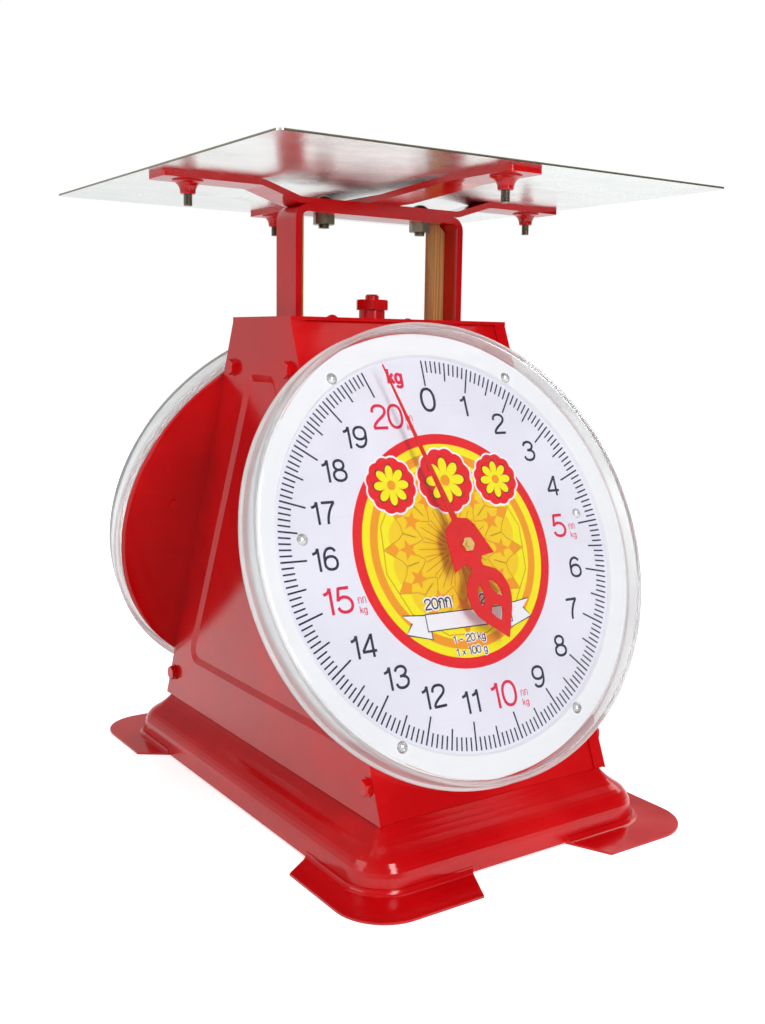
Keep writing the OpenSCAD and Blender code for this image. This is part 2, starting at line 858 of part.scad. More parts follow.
module carrier_solid() {
  difference() {
    union() {
      translate([rack_back, -50, 160]) cube([3, 50 - beam_t / 2, 12]);
      translate([rack_back, -beam_t / 2 - 2.5, 160]) cube([15, 2.5, 12]);
    }
    for (i = [0, 1]) {
      translate([4, carry_y(i), carry_z]) rotate([0, 90, 0]) cylinder(r = 1.52, h = 12, $fn = 32);
    }
    translate([17.5, -10, 166]) rotate([-90, 0, 0]) cylinder(r = 2.02, h = 12, $fn = 32);
  }
}

module rack_carriers() {
  color(steel) {
    carrier_solid();
    to_rear() carrier_solid();
  }
}

module carrier_screw_set() {
  for (i = [0, 1]) {
    translate([rack_back + 3, carry_y(i), carry_z]) rotate([0, 90, 0]) {
      cylinder(r = 2.6, h = 1.8, $fn = 32);
      translate([0, 0, -5.2]) cylinder(r = 1.5, h = 5.3, $fn = 32);
    }
  }
  translate([17.5, -beam_t / 2 - 2.5, 166]) rotate([90, 0, 0]) {
    cylinder(r = 3.6, h = 2, $fn = 32);
    translate([0, 0, -6.4]) cylinder(r = 2, h = 6.5, $fn = 32);
  }
}

module beam_end_screw() {
  translate([leg_x, 6.5, 166]) rotate([0, 90, 0]) {
    cylinder(r = 4, h = 2, $fn = 32);
    translate([0, 0, -7.4]) cylinder(r = 2.5, h = 7.5, $fn = 32);
  }
}

module beam_screws() {
  color(steel) for (a = [0, 180]) {
    rotate([0, 0, a]) {
      carrier_screw_set();
      beam_end_screw();
    }
  }
}

module spring_beam() {
  color(steel) difference() {
    union() {
      translate([-leg_in, -beam_t / 2, beam_z0]) cube([2 * leg_in, beam_t, beam_z1 - beam_z0]);
      for (a = [0, 180]) {
        rotate([0, 0, a]) translate([leg_in - 2.5, -beam_t / 2, beam_z0])
          cube([2.5, arm_w / 2 + beam_t / 2, beam_z1 - beam_z0]);
      }
    }
    for (a = [0, 180]) {
      rotate([0, 0, a]) {
        translate([spring_x, -5, beam_z1 - hook_drop]) rotate([-90, 0, 0]) cylinder(r = wire_d / 2 + 0.4, h = 10, $fn = 32);
        translate([17.5, -5, 166]) rotate([-90, 0, 0]) cylinder(r = 2.02, h = 10, $fn = 32);
        translate([leg_in - 6, 6.5, 166]) rotate([0, 90, 0]) cylinder(r = 2.52, h = 10, $fn = 32);
      }
    }
  }
}

// springs

coil_z0 = beam_z1 + 8.5;
coil_z1 = bar_z0 - 8.5;
coil_pitch = (coil_z1 - coil_z0) / coil_n;
coil_r = coil_d / 2;
spring_path = concat(
  [for (b = [180:22.5:360]) [0, hook_r * cos(b), beam_z1 + hook_r * sin(b)]],
  [[0, (hook_r + coil_r) / 2 + 0.6, beam_z1 + 4.5]],
  [for (k = [0:coil_n * 8]) [coil_r * cos(90 + 45 * k), coil_r * sin(90 + 45 * k), coil_z0 + coil_pitch * k / 8]],
  [[0, (hook_r + coil_r) / 2 + 0.6, bar_z0 - 4.5]],
  [for (b = [0:22.5:180]) [0, hook_r * cos(b), bar_z0 + hook_r * sin(b)]]);
sp_n = len(spring_path);
function unit(v) = v / norm(v);
sp_tan = [for (i = [0:sp_n - 1]) unit(spring_path[min(i + 1, sp_n - 1)] - spring_path[max(i - 1, 0)])];
sp_nor = [for (i = 0, n = [1, 0, 0]; i < sp_n; i = i + 1, n = i < sp_n ? unit(n - (n * sp_tan[i]) * sp_tan[i]) : n) n];
sp_ring = [for (i = [0:sp_n - 1]) for (j = [0:5])
  spring_path[i] + wire_d / 2 * (cos(60 * j) * sp_nor[i] + sin(60 * j) * cross(sp_tan[i], sp_nor[i]))];
sp_faces = concat([[0, 1, 2, 3, 4, 5]],
  [for (i = [0:sp_n - 2]) for (j = [0:5]) [i * 6 + j, (i + 1) * 6 + j, (i + 1) * 6 + (j + 1) % 6]],
  [for (i = [0:sp_n - 2]) for (j = [0:5]) [i * 6 + j, (i + 1) * 6 + (j + 1) % 6, i * 6 + (j + 1) % 6]],
  [[for (j = [5:-1:0]) (sp_n - 1) * 6 + j]]);
spring_gap = min([for (i = [0:sp_n - 1]) for (j = [i + 7:sp_n - 1]) norm(spring_path[i] - spring_path[j])]) - wire_d;
echo("least gap of the spring wire to itself", spring_gap);

module spring_right() {
  color(steel) translate([spring_x, 0, 0]) polyhedron(points = sp_ring, faces = sp_faces, convexity = 8);
}

module spring_left() {
  color(steel) rotate([0, 0, 180]) translate([spring_x, 0, 0]) polyhedron(points = sp_ring, faces = sp_faces, convexity = 8);
}

// zero setting

module zero_nut() {
  color(red) translate([0, 0, z_top + 5.5]) hex_nut(18, 6, 4.04);
}

module hanger_bolt() {
  color(steel) difference() {
    rotate_extrude() polygon([[0, bar_z0 + 2], [4, bar_z0 + 2], [4, z_top + 13.8], [3.2, z_top + 14.6], [0, z_top + 14.6]]);
    translate([-6, -beam_t / 2, bar_z0 - 1]) cube([12, beam_t, bar_z1 - bar_z0 + 1]);
  }
}

module hanger_bar() {
  color(steel) difference() {
    translate([-spring_x - 8, -beam_t / 2, bar_z0]) cube([2 * spring_x + 16, beam_t, bar_z1 - bar_z0]);
    for (x = [-1, 1]) {
      translate([x * spring_x, -5, bar_z0 + hook_drop]) rotate([-90, 0, 0]) cylinder(r = wire_d / 2 + 0.4, h = 10, $fn = 32);
    }
  }
}

// stabiliser links

module x_rod(r, x0, x1) {
  translate([x0, 0, 0]) rotate([0, 90, 0]) cylinder(r = r, h = x1 - x0, $fn = 48);
}

// link with its fixed shaft on the x axis and its arms along -y
module link_solid(len) {
  far = sqrt(len * len + travel * travel / 4);
  gap = 0.35;
  difference() {
    union() {
      x_rod(5.5, -ear_x + 0.3, ear_x - 0.3);
      for (x = [-link_x - link_t, link_x]) {
        translate([x, -far - 1, -6]) cube([link_t, far + 1, 12]);
        translate([0, -far - 1, 0]) x_rod(6, x, x + link_t);
        x_rod(6.5, x, x + link_t);
      }
    }
    x_rod(link_shaft_r + run_clear, -80, 80);
    for (x = [-link_x - link_t - 1, link_x - 1]) {
      translate([0, -len + 0.4, 0]) x_rod(pin_r + gap, x, x + link_t + 2);
      translate([0, -far - 0.4, 0]) x_rod(pin_r + gap, x, x + link_t + 2);
      translate([x, -far - 0.4, -pin_r - gap]) cube([link_t + 2, far - len + 0.8, 2 * pin_r + 2 * gap]);
    }
  }
}

module upper_link() {
  color(steel) translate([0, link_hi_y, link_hi_z]) rotate([-atan(travel / 2 / link_hi_y), 0, 0]) link_solid(link_hi_y);
}

module lower_link() {
  color(steel) translate([0, link_lo_y, link_lo_z]) rotate([-atan(travel / 2 / link_lo_y), 0, 0]) link_solid(link_lo_y);
}

module link_shafts() {
  color(steel) {
    translate([0, link_hi_y, link_hi_z]) x_rod(link_shaft_r, -ear_x - ear_t - 0.5, ear_x + ear_t + 0.5);
    translate([0, link_lo_y, link_lo_z]) x_rod(link_shaft_r, -ear_x - ear_t - 0.5, ear_x + ear_t + 0.5);
  }
}

module ear(pts, y, z) {
  rotate([90, 0, 90]) linear_extrude(height = ear_t) polygon(pts);
  translate([0, y, z]) x_rod(7, 0, ear_t);
}

module ear_pair(pts, y, z) {
  for (x = [-ear_x - ear_t, ear_x]) {
    translate([x, 0, 0]) ear(pts, y, z);
  }
}

module link_brackets() {
  color(steel) {
    difference() {
      union() {
        translate([-ear_x - ear_t, -20, plate_z - 2]) cube([2 * ear_x + 2 * ear_t, 48, 2]);
        ear_pair([[8, plate_z - 1], [28, plate_z - 1], [link_hi_y + 6.9, link_hi_z + 1], [link_hi_y - 6.9, link_hi_z + 1]],
          link_hi_y, link_hi_z);
      }
      leg_slots(plate_z - 6, plate_z + 5);
      translate([0, 0, plate_z - 5]) cylinder(r = 6, h = 12);
      translate([36, 14, plate_z - 5]) cylinder(r = 2.05, h = 12, $fn = 32);
      translate([-36, -14, plate_z - 5]) cylinder(r = 2.05, h = 12, $fn = 32);
      translate([0, link_hi_y, link_hi_z]) x_rod(link_shaft_r + run_clear, -80, 80);
    }
    difference() {
      union() {
        translate([-ear_x - ear_t, link_lo_y - 16, deck_z + angle_t]) cube([2 * ear_x + 2 * ear_t, 32, 2]);
        ear_pair([[link_lo_y - 16, deck_z + angle_t + 1], [link_lo_y + 16, deck_z + angle_t + 1], [link_lo_y + 6.9, link_lo_z - 1],
          [link_lo_y - 6.9, link_lo_z - 1]], link_lo_y, link_lo_z);
      }
      translate([0, link_lo_y, link_lo_z]) x_rod(link_shaft_r + run_clear, -80, 80);
    }
  }
}

// platform

module platter() {
  color([0.9, 0.91, 0.92]) round_slab(platter_w / 2, platter_w / 2, 3, arm_top, platter_z);
}

module platter_studs() {
  color(dark) for (p = [[stud_x, 0], [-stud_x, 0], [0, stud_y], [0, -stud_y]]) {
    translate([p[0], p[1], 0]) screw_rod(2.4, 0.8, arm_seat - 13, arm_seat - 7, arm_top);
  }
}

module stud_cone_nuts() {
  color(red) for (p = [[stud_x, 0], [-stud_x, 0], [0, stud_y], [0, -stud_y]]) {
    translate([p[0], p[1], arm_seat - 7]) rotate_extrude($fn = 48)
      polygon([[2.42, 0], [3.6, 0], [4.1, 0.6], [4.2, 2.2], [4.9, 4], [6.2, 5.5], [7.9, 6.2], [8.3, 6.5], [8.3, 7], [2.42, 7]]);
  }
}

// arc of a bend at corner p of the lower line, from direction u to v in degrees, lifted by t towards the upper line
function bend_pts(p, u, v, rb, t) = [for (i = [0:4]) p
  - rb * tan(abs(v - u) / 2) * [cos(u), sin(u)]
  + sign(v - u) * rb * [-sin(u), cos(u)]
  - sign(v - u) * (rb - sign(v - u) * t) * [-sin(u + (v - u) * i / 4), cos(u + (v - u) * i / 4)]];

// right half of one side line of a joggled bar: low in the middle, high at the end, with bend radius r inside
function bar_line(t, zl, zh, xi, xo, xe, r, up) =
  let (a = atan((zh - zl) / (xo - xi)), k = t * tan(a / 2))
  concat(bend_pts([xi + k, zl - t], 0, a, r + t, up), bend_pts([xo + k, zh - t], a, 0, r, up), [[xe, zh - t + up]]);
function turned(pts) = [for (i = [len(pts) - 1:-1:0]) pts[i]];
function mirrored(pts) = [for (p = pts) [-p[0], p[1]]];

module joggled_bar(t, zl, zh, xi, xo, xe, r) {
  low = bar_line(t, zl, zh, xi, xo, xe, r, 0);
  high = bar_line(t, zl, zh, xi, xo, xe, r, t);
  intersection() {
    rotate([90, 0, 0]) translate([0, 0, -arm_w / 2]) linear_extrude(height = arm_w)
      polygon(concat(low, turned(high), mirrored(high), turned(mirrored(low))));
    round_slab(xe, arm_w / 2, arm_r, zl - t - 5, zh + 5);
  }
}

module cross_arm_x() {
  color(red) difference() {
    joggled_bar(arm_t, yoke_z + arm_t, arm_top, leg_x - 4, leg_x + 20, arm_reach, 12);
    for (x = [-1, 1]) {
      translate([x * stud_x, 0, 330]) cylinder(r = 2.7, h = 30, $fn = 32);
      translate([x * bolt_x, 0, 330]) cylinder(r = 3.3, h = 30, $fn = 32);
    }
  }
}

module cross_arm_y() {
  color(red) difference() {
    rotate([0, 0, 90]) joggled_bar(arm_t, yoke_z + 2 * arm_t, arm_top, arm_w + 2, arm_w + 66, arm_reach, 20);
    for (y = [-1, 1]) {
      translate([0, y * stud_y, 330]) cylinder(r = 2.7, h = 30, $fn = 32);
    }
  }
}

module yoke_bend() {
  translate([leg_x - yoke_r, arm_w / 2, yoke_z - yoke_r]) rotate([90, 0, 0]) rotate_extrude(angle = 90)
    translate([yoke_r - yoke_t, 0]) square([yoke_t, arm_w]);
}

module yoke() {
  color(red) difference() {
    union() {
      translate([-leg_x + yoke_r, -arm_w / 2, yoke_z - yoke_t]) cube([2 * leg_x - 2 * yoke_r, arm_w, yoke_t]);
      for (m = [0, 1]) {
        mirror([m, 0, 0]) {
          yoke_bend();
          translate([leg_in, -arm_w / 2, leg_z]) cube([yoke_t, arm_w, yoke_z - yoke_r - leg_z]);
        }
      }
    }
    for (x = [-1, 1]) {
      translate([x * bolt_x, 0, 330]) cylinder(r = 3.3, h = 30, $fn = 32);
    }
    for (a = [0, 180]) {
      rotate([0, 0, a]) translate([leg_in - 4, 6.5, 166]) rotate([0, 90, 0]) cylinder(r = 2.52, h = 12, $fn = 32);
    }
    translate([0, 0, link_hi_z + travel / 2]) x_rod(pin_r + 0.02, -80, 80);
    translate([0, 0, link_lo_z + travel / 2]) x_rod(pin_r + 0.02, -80, 80);
  }
}

module yoke_bolts() {
  color(dark) for (x = [-1, 1]) {
    translate([x * bolt_x, 0, 0]) {
      translate([0, 0, yoke_z + arm_t]) dome(6, 3.2);
      screw_rod(3.175, 1, yoke_z - yoke_t - 7.5, yoke_z - yoke_t - 5.4, yoke_z + arm_t + 0.1);
    }
  }
}

module yoke_nuts() {
  color(dark) for (x = [-1, 1]) {
    translate([x * bolt_x, 0, yoke_z - yoke_t - 5.5]) rotate([0, 0, 12]) hex_nut(11, 5.5, 3.2);
  }
}

module packing_strips() {
  c = yoke_r - yoke_t + 0.1;
  h = yoke_z - yoke_t - z_top;
  color([0.42, 0.2, 0.17]) for (m = [0, 1]) {
    mirror([m, 0, 0]) translate([leg_in, strip_y0 + strip_y, z_top]) rotate([90, 0, 0])
      linear_extrude(height = strip_y) polygon([[-strip_x, 0], [0, 0], [0, h - c], [-c, h], [-strip_x, h]]);
  }
}

module link_pin(z) {
  translate([0, 0, z]) x_rod(pin_r, leg_in - 0.2, link_x + link_t + 1.5);
  translate([0, 0, z]) x_rod(4, leg_in - 1.7, leg_in);
}

module yoke_link_pins() {
  color(steel) for (m = [0, 1]) {
    mirror([m, 0, 0]) {
      link_pin(link_hi_z + travel / 2);
      link_pin(link_lo_z + travel / 2);
    }
  }
}

// pointers

blade_u = 15.5;
blade_h = 1.9;
head_pts = [[blade_h, blade_u], [4.5, 14.2], [8.2, 12.6], [10.8, 8], [15, -10.6], [6.4, -9], [4.3, -11.5],
  [4.4, -13.8], [7.5, -16], [10.9, -18.5], [13.9, -23.5], [14.8, -30.7], [13.1, -36.6], [10, -42]];
point_pts = concat([[0.35, pointer_len]], head_pts, [[0, -tail_len]],
  [for (i = [13:-1:0]) [-head_pts[i][0], head_pts[i][1]]], [[-0.35, pointer_len]]);
eye_pts = [[3.3, -22.2], [5.9, -23.8], [7.6, -26.6], [8.1, -30], [7.6, -33.5], [5.2, -31.8], [3.7, -28.8], [3.1, -25.4]];
drop_pts = [[0, -35.2], [2.4, -36.4], [4, -38.6], [2.6, -41.6], [0, -45], [-2.6, -41.6], [-4, -38.6], [-2.4, -36.4]];

module pointer_solid() {
  dial_frame() rotate([0, 0, -pointer_ang]) difference() {
    translate([0, 0, 13.7]) linear_extrude(height = 0.6) polygon(point_pts);
    translate([0, 0, 13]) cylinder(r = shaft_r + 0.01, h = 3, $fn = 48);
    translate([0, 0, 13]) linear_extrude(height = 3) polygon(eye_pts);
    mirror([1, 0, 0]) translate([0, 0, 13]) linear_extrude(height = 3) polygon(eye_pts);
    translate([0, 0, 13]) linear_extrude(height = 3) polygon(drop_pts);
  }
}

module front_pointer() {
  color([0.86, 0.06, 0.08]) pointer_solid();
}

module rear_pointer() {
  color([0.86, 0.06, 0.08]) to_rear() pointer_solid();
}

module hub_nut_solid() {
  dial_frame() translate([0, 0, 14.3]) {
    hex_nut(7, 1.9, shaft_r + 0.01);
  }
}

module front_hub_nut() {
  color(brass) hub_nut_solid();
}

module rear_hub_nut() {
  color(brass) to_rear() hub_nut_solid();
}

base_pan();
base_feet();
base_angles();
side_panel_left();
side_panel_right();
front_panel();
rear_panel();
top_plate();
panel_screws();
top_rivets();
zero_collar();
spring_left();
spring_right();
front_back_pan();
rear_back_pan();
front_dial_plate();
rear_dial_plate();
front_cover();
rear_cover();
front_dial_screws();
rear_dial_screws();
front_dial_hardware();
rear_dial_hardware();
front_face_rivets();
rear_face_rivets();
front_movement_bracket();
rear_movement_bracket();
bracket_rivets();
shaft_bushes();
link_brackets();
link_shafts();
platter();
platter_studs();
stud_cone_nuts();
cross_arm_x();
cross_arm_y();
yoke();
yoke_bolts();
yoke_nuts();
packing_strips();
yoke_link_pins();
spring_beam();
beam_screws();
rack_carriers();
front_rack();
rear_rack();
front_pointer();
rear_pointer();
front_pointer_shaft();
rear_pointer_shaft();
front_pinion();
rear_pinion();
front_hub_nut();
rear_hub_nut();
upper_link();
lower_link();
zero_nut();
hanger_bolt();
hanger_bar();
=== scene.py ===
"""Looks of a spring scale with two dials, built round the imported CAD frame.

Lengths are in metres, z = 0 is the table, x runs to the right of a viewer in front, and the
front dial faces -y.  A dial point is given as (x, y, w): x to the right, y up the slope and w
outwards from the sloping casing.
"""

import math

import bpy
import numpy as np
from mathutils import Matrix, Vector


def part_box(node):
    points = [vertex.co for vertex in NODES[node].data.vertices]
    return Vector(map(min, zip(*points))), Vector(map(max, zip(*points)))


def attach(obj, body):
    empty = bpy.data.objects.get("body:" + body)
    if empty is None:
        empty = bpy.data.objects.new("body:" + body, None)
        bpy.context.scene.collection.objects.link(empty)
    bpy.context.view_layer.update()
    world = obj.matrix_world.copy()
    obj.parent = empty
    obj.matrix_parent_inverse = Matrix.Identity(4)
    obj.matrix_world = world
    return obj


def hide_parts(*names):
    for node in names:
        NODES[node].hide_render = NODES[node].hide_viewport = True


bl_info = {
    "name": "Dial Scale Dressing",
    "version": (1, 0, 0),
    "blender": (4, 5, 0),
    "location": "3D View > Sidebar > Scale",
    "description": "Finishes, printing, covers and stage of a two-dial spring scale",
    "category": "Object",
}

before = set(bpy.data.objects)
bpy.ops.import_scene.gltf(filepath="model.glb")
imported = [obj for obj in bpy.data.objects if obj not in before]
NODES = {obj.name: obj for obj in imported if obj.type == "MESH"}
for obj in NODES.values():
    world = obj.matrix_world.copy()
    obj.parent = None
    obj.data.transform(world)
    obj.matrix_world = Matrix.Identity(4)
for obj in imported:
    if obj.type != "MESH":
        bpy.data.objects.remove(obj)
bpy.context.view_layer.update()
PLATTER_LO, PLATTER_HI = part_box("platter")

# the slope that carries the dials: half depths 32.8 mm at the top and 130 mm at the deck, 250 mm up
TILT = math.atan2(0.0972, 0.25)
SIN_T, COS_T = math.sin(TILT), math.cos(TILT)
# where the axis of the front pointer passes through the slope
AXIS = np.array([0.0, -0.081633, 0.1526])
ACROSS = np.array([1.0, 0.0, 0.0])
UP_SLOPE = np.array([0.0, SIN_T, COS_T])
OUTWARD = np.array([0.0, -COS_T, SIN_T])
MM = 0.001
DIALS = ((False, "front"), (True, "rear"))

# heights over the casing: the foot of every print, inside the sheet, and the printed face
PRINT_FOOT, PRINT_FACE = 3.9 * MM, 4 * MM
# in mm: the first emblem print and the steps between its layers and between crossing strokes
EMBLEM_FACE, EMBLEM_STEP, STROKE_STEP = 4.04, 0.013, 0.004

# radii where the 1 kg, 0.5 kg and 0.1 kg ticks start, and their half widths
TICK_INNER = np.array([0.0932, 0.0972, 0.1012])
TICK_HALF = np.array([0.00050, 0.00048, 0.00046])

# middles (x, y) of the crimson numbers; the stroke of all numbers as a share of their height
ACCENT_PLACES = {
    5: (0.0776, 0.0070), 10: (0.0121, -0.0817), 15: (-0.0797, -0.0196), 20: (-0.0278, 0.0761),
}
NUMERAL_STROKE = 0.122


def srgb(r, g, b):
    """Linear colour of an 8-bit screen colour: ((c + 0.055) / 1.055) to the power 2.4, or c / 12.92
    near black."""
    c = np.array([r, g, b], float) / 255
    lin = np.where(c <= 0.04045, c / 12.92, ((c + 0.055) / 1.055) ** 2.4)
    return (*lin.tolist(), 1.0)


# settings


def setting(name, description, default, unit="LENGTH"):
    return bpy.props.FloatProperty(name=name, description=description, default=default, unit=unit)


def colour_setting(name, description, *screen):
    return bpy.props.FloatVectorProperty(
        name=name, description=description, subtype="COLOR", size=4, default=srgb(*screen)
    )


class ScaleSizes(bpy.types.PropertyGroup):
    print_thickness: setting(
        "Print thickness", "Height of the printed marks above the dial sheet", 0.00004)
    numeral_height: setting("Numeral height", "Height of the plain kilogram numbers", 0.0122)
    accent_height: setting(
        "Accent numeral height", "Height of the larger numbers at 0, 5, 10, 15 and 20", 0.0140)
    numeral_radius: setting(
        "Numeral radius", "Distance of the middle of each number from the pointer axis", 0.0840)
    tick_outer: setting("Tick outer radius", "Radius at which all ticks of the scale end", 0.1083)
    emblem_radius: setting(
        "Emblem radius", "Outer radius of the ring round the middle of the dial", 0.0653)
    zero_angle: setting(
        "Zero angle", "Angle of the zero mark, clockwise from the top", math.radians(1.2), "ROTATION")
    kilogram_angle: setting(
        "Kilogram angle", "Angle between two kilogram marks", math.radians(16.886), "ROTATION")


class ScaleColours(bpy.types.PropertyGroup):
    enamel: colour_setting("Enamel", "Colour of the glossy casing paint", 206, 6, 13)
    pointer: colour_setting("Pointer", "Colour of the pointer paint", 224, 12, 18)
    dial_white: colour_setting("Dial sheet", "Colour of the sheet inside the tick ring", 240, 237, 249)
    ink_navy: colour_setting("Dark ink", "Ink of the ticks and plain numbers", 32, 32, 58)
    ink_crimson: colour_setting("Crimson ink", "Ink of the larger numbers", 226, 22, 74)
    ink_red: colour_setting("Red ink", "Ink of the outer emblem ring", 234, 14, 30)
    ink_yellow: colour_setting("Yellow ink", "Ink of the emblem field", 252, 236, 10)
    ink_orange: colour_setting("Orange ink", "Ink of the emblem pattern", 246, 156, 24)


def sizes():
    return bpy.context.scene.scale_sizes


def colours():
    return bpy.context.scene.scale_colours


# shapes


def dial_points(x, y, w, rear=False):
    """Scene points of dial points: axis + x * across + y * up-slope + w * outward, and for the rear
    dial turned half a turn about the vertical, (X, Y, Z) -> (-X, -Y, Z)."""
    x, y, w = np.broadcast_arrays(x, y, w)
    p = AXIS + x[..., None] * ACROSS + y[..., None] * UP_SLOPE + w[..., None] * OUTWARD
    return p * np.array([-1.0, -1.0, 1.0]) if rear else p


def volume_of(points, quads, tris):
    """Signed volume: a sixth of the sum of a . (b x c) over all triangles of the shell."""
    t = np.concatenate([quads[:, [0, 1, 2]], quads[:, [0, 2, 3]], tris])
    a, b, c = points[t[:, 0]], points[t[:, 1]], points[t[:, 2]]
    return float(np.einsum("ij,ij->i", a, np.cross(b, c)).sum() / 6)


def make_piece(name, points, quads, tris=None, sharp_deg=None):
    """A mesh object at the origin from whole arrays, turned so that its closed shell faces outwards.
    With sharp_deg it is smooth up to that angle between faces, and flat without."""
    points = np.asarray(points, float).reshape(-1, 3)
    quads = np.asarray(quads, int).reshape(-1, 4)
    tris = np.zeros((0, 3), int) if tris is None else np.asarray(tris, int).reshape(-1, 3)
    if volume_of(points - points.mean(0), quads, tris) < 0:
        quads, tris = quads[:, ::-1], tris[:, ::-1]
    mesh = bpy.data.meshes.new(name)
    mesh.from_pydata(points.tolist(), [], quads.tolist() + tris.tolist())
    mesh.polygons.foreach_set("use_smooth", np.full(len(mesh.polygons), sharp_deg is not None))
    if sharp_deg is not None:
        mesh.set_sharp_from_angle(angle=math.radians(sharp_deg))
    mesh.validate()
    mesh.update()
    piece = bpy.data.objects.new(name, mesh)
    bpy.context.scene.collection.objects.link(piece)
    return piece


def grid_quads(rows, cols, wrap_rows, wrap_cols):
    """Corner numbers of the quads of a rows x cols grid, joined over its end where it wraps."""
    i = np.arange(rows if wrap_rows else rows - 1)
    j = np.arange(cols if wrap_cols else cols - 1)
    a, b = np.meshgrid(i, j, indexing="ij")
    a2, b2 = (a + 1) % rows, (b + 1) % cols
    return np.stack([a * cols + b, a2 * cols + b, a2 * cols + b2, a * cols + b2], -1).reshape(-1, 4)


def fan(pole, first, count):
    """Triangles from a pole to the ring of count points that starts at first."""
    k = np.arange(count)
    return np.stack([np.full(count, pole), first + k, first + (k + 1) % count], -1)


def plates(name, corner_xy, top, rear):
    """Printed plates: N outlines of four (x, y) corners, each lifted from PRINT_FOOT to the height
    top into a closed box."""
    n = len(corner_xy)
    x, y = corner_xy[..., 0], corner_xy[..., 1]
    points = np.concatenate([dial_points(x, y, w, rear) for w in (PRINT_FOOT, top)], 1)
    one = np.array([[0, 3, 2, 1], [4, 5, 6, 7], [0, 1, 5, 4], [1, 2, 6, 5], [2, 3, 7, 6], [3, 0, 4, 7]])
    return make_piece(name, points, np.arange(n)[:, None, None] * 8 + one)


def ring(name, angle, inner, outer, top, rear):
    """A flat printed ring or rosette: round the angle, the section is the rectangle between the
    radii inner(angle) and outer(angle) and the heights PRINT_FOOT and top, closed both ways."""
    inner, outer, _ = np.broadcast_arrays(inner, outer, angle)
    radius = np.stack([inner, inner, outer, outer], -1)
    height = np.array([PRINT_FOOT, top, top, PRINT_FOOT])
    points = dial_points(radius * np.sin(angle)[:, None], radius * np.cos(angle)[:, None], height, rear)
    return make_piece(name, points, grid_quads(len(angle), 4, True, True))


def polar(cx, cy, radius, angle):
    """A patch outline: centre + radius * (sin angle, cos angle), clockwise from the top."""
    return (cx, cy), np.stack([cx + radius * np.sin(angle), cy + radius * np.cos(angle)], -1)


def patches(name, shapes, top, rear):
    """Flat printed patches.  Each (centre, outline) is fanned from its centre into triangles at
    PRINT_FOOT and at the height top, and the outline's wall between the two closes it."""
    all_points, all_quads, all_tris, count = [], [], [], 0
    for centre, outline in shapes:
        following = np.roll(outline, -1, 0)
        if np.sum(outline[:, 0] * following[:, 1] - following[:, 0] * outline[:, 1]) < 0:
            outline = outline[::-1]
        n = len(outline)
        low, high = fan(2 * n, 0, n), fan(2 * n + 1, n, n)
        flat = np.concatenate([outline, outline, [centre, centre]])
        height = np.concatenate([np.full(n, PRINT_FOOT), np.full(n, top), [PRINT_FOOT, top]])
        all_points.append(dial_points(flat[:, 0], flat[:, 1], height, rear))
        all_quads.append(np.concatenate([low[:, 1:], high[:, [2, 1]]], 1) + count)
        all_tris.append(np.concatenate([low[:, [0, 2, 1]], high]) + count)
        count += 2 * n + 2
    return make_piece(name, *(np.concatenate(part) for part in (all_points, all_quads, all_tris)))


def lathe(name, profile, steps, rear):
    """A turned shell: the (radius, height) profile, from the axis and back to the axis, is carried
    round the dial axis in equal steps; both ends on the axis are single poles."""
    turn = np.linspace(0, 2 * math.pi, steps, endpoint=False)
    body = profile[1:-1]
    radius, w = body[:, :1], body[:, 1:]
    points = dial_points(radius * np.cos(turn), radius * np.sin(turn), w, rear).reshape(-1, 3)
    poles = dial_points(0.0, 0.0, profile[[0, -1], 1], rear)
    quads = grid_quads(len(body), steps, False, True)
    near = fan(len(points), 0, steps)
    far = fan(len(points) + 1, len(points) - steps, steps)
    caps = np.concatenate([near, far[:, [0, 2, 1]]])
    return make_piece(name, np.concatenate([points, poles]), quads, caps, sharp_deg=35)


def arc(cx, cy, r, a0, a1, n):
    """n points of a round corner: centre + r * (cos a, sin a), with a in degrees from a0 to a1."""
    a = np.radians(np.linspace(a0, a1, n))
    return np.stack([cx + r * np.cos(a), cy + r * np.sin(a)], -1)


def smooth_path(points, per_span):
    """Catmull-Rom curve through the points, per_span samples a span: each span blends its two ends
    and the slopes (next - previous) / 2 with the cubic Hermite weights."""
    p = np.concatenate([2 * points[:1] - points[1:2], points, 2 * points[-1:] - points[-2:-1]])
    a, b, c, d = p[:-3], p[1:-2], p[2:-1], p[3:]
    t = np.linspace(0, 1, per_span, endpoint=False)[None, :, None]
    a, b, c, d = (q[:, None] for q in (a, b, c, d))
    square, cube = 2 * a - 5 * b + 4 * c - d, 3 * b - a - 3 * c + d
    curve = 0.5 * (2 * b + (c - a) * t + square * t**2 + cube * t**3)
    return np.concatenate([curve.reshape(-1, points.shape[1]), points[-1:]])


def tube(name, path, side, radius):
    """Round wire: at each point of the path a circle of the radius in the plane across the tangent,
    spanned by the side vector made square to it and by their cross product, with flat ends."""
    tangent = np.gradient(path, axis=0)
    tangent /= np.linalg.norm(tangent, axis=1, keepdims=True)
    side = side - (side * tangent).sum(1, keepdims=True) * tangent
    side /= np.linalg.norm(side, axis=1, keepdims=True)
    other = np.cross(tangent, side)
    sides = 12
    a = np.linspace(0, 2 * math.pi, sides, endpoint=False)
    cos, sin = np.cos(a)[None, :, None], np.sin(a)[None, :, None]
    shell = path[:, None] + radius * (cos * side[:, None] + sin * other[:, None])
    points = np.concatenate([shell.reshape(-1, 3), path[[0, -1]]])
    near = fan(len(points) - 2, 0, sides)
    far = fan(len(points) - 1, (len(path) - 1) * sides, sides)
    caps = np.concatenate([near[:, [0, 2, 1]], far])
    return make_piece(name, points, grid_quads(len(path), sides, False, True), caps, sharp_deg=50)


